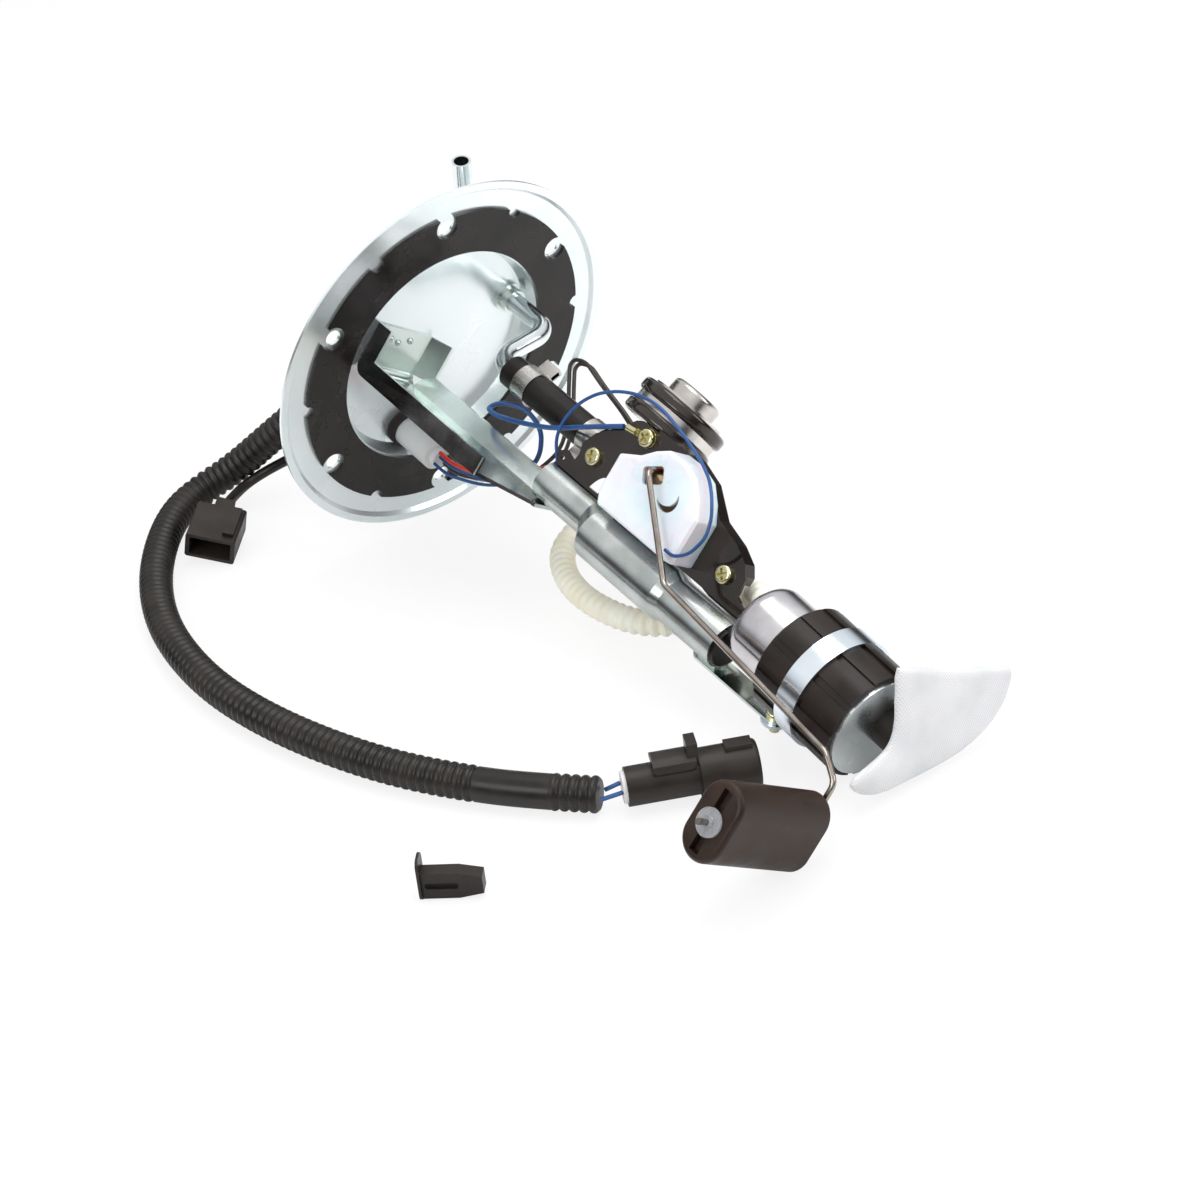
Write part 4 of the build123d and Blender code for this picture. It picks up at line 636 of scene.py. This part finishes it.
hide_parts("loom")
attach(loom_sleeve, "module")
[tuple(p) for p in walk(route_points(LOOM_ROUTE), 0.004)]
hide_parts("small_lead")
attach(lead_sleeve, "module")
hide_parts("return_hose")
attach(return_outer, "module")
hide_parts("strainer_sock")
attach(strainer_bag, "module")

# %% [markdown]
# ## Table and light
# A white glossy table, a world of white sky and large soft lamps. The world shows white to the
# camera, while the metal sees a world that is bright above and darker towards the horizon, so
# that its curves have contrast.

# %% Table
bpy.ops.mesh.primitive_plane_add(size=6.0, location=(0.0, 0.0, -0.0002))
table = bpy.context.object
table.name = "white_table"
top = bpy.data.materials.new("table_top")
top.use_nodes = True
tree = top.node_tree
shader = tree.nodes["Principled BSDF"]
shader.inputs["Base Color"].default_value = (0.92, 0.92, 0.92, 1)
shader.inputs["Roughness"].default_value = 0.12
shader.inputs["Specular IOR Level"].default_value = 0.35
path = tree.nodes.new("ShaderNodeLightPath")
glow = tree.nodes.new("ShaderNodeEmission")
glow.inputs["Color"].default_value = (1, 1, 1, 1)
blend = tree.nodes.new("ShaderNodeMixShader")
share = tree.nodes.new("ShaderNodeMath")
share.operation = "MULTIPLY"
share.inputs[1].default_value = 0.82
tree.links.new(path.outputs["Is Camera Ray"], share.inputs[0])
tree.links.new(share.outputs[0], blend.inputs[0])
tree.links.new(shader.outputs[0], blend.inputs[1])
tree.links.new(glow.outputs[0], blend.inputs[2])
tree.links.new(blend.outputs[0], tree.nodes["Material Output"].inputs["Surface"])
table.data.materials.append(top)

# %% World
world = bpy.data.worlds.new("studio")
bpy.context.scene.world = world
world.use_nodes = True
tree = world.node_tree
tree.nodes.clear()
out = tree.nodes.new("ShaderNodeOutputWorld")
path = tree.nodes.new("ShaderNodeLightPath")
white = tree.nodes.new("ShaderNodeBackground")
white.inputs["Color"].default_value = (1, 1, 1, 1)
white.inputs["Strength"].default_value = 1.0
seen = tree.nodes.new("ShaderNodeBackground")
place = tree.nodes.new("ShaderNodeTexCoord")
split = tree.nodes.new("ShaderNodeSeparateXYZ")
ramp = tree.nodes.new("ShaderNodeValToRGB")
ramp.color_ramp.elements[0].position = 0.0
ramp.color_ramp.elements[0].color = (0.05, 0.045, 0.045, 1)
ramp.color_ramp.elements[1].position = 0.62
ramp.color_ramp.elements[1].color = (1.0, 1.0, 1.0, 1)
low = ramp.color_ramp.elements.new(0.22)
low.color = (0.07, 0.065, 0.07, 1)
rise = ramp.color_ramp.elements.new(0.40)
rise.color = (0.72, 0.75, 0.78, 1)
seen.inputs["Strength"].default_value = 0.95
either = tree.nodes.new("ShaderNodeMixShader")
tree.links.new(place.outputs["Generated"], split.inputs[0])
tree.links.new(split.outputs["Z"], ramp.inputs["Fac"])
tree.links.new(ramp.outputs["Color"], seen.inputs["Color"])
tree.links.new(path.outputs["Is Camera Ray"], either.inputs[0])
tree.links.new(seen.outputs[0], either.inputs[1])
tree.links.new(white.outputs[0], either.inputs[2])
tree.links.new(either.outputs[0], out.inputs["Surface"])


# %% Lamps
def softbox(name, at, aim, size, power):
    """Area lamp that points at a spot."""
    light = bpy.data.lights.new(name, "AREA")
    light.shape = "RECTANGLE"
    light.size, light.size_y = size
    light.energy = power
    lamp = bpy.data.objects.new(name, light)
    bpy.context.scene.collection.objects.link(lamp)
    way = (Vector(aim) - Vector(at)).normalized()
    lamp.matrix_world = Matrix.Translation(at) @ way.to_track_quat("-Z", "Y").to_matrix().to_4x4()
    return lamp


softbox("top_softbox", (0.1, 0.2, 1.3), (0.0, 0.0, 0.05), (1.1, 0.8), 9.0)
softbox("left_softbox", (0.3, -1.2, 0.8), (0.0, 0.0, 0.05), (0.8, 0.6), 6.0)
softbox("right_softbox", (1.2, 0.9, 0.7), (0.0, 0.0, 0.05), (0.7, 0.7), 5.0)

# %% Finish
scene = bpy.context.scene
scene.view_settings.view_transform = "Standard"
bpy.context.view_layer.update()
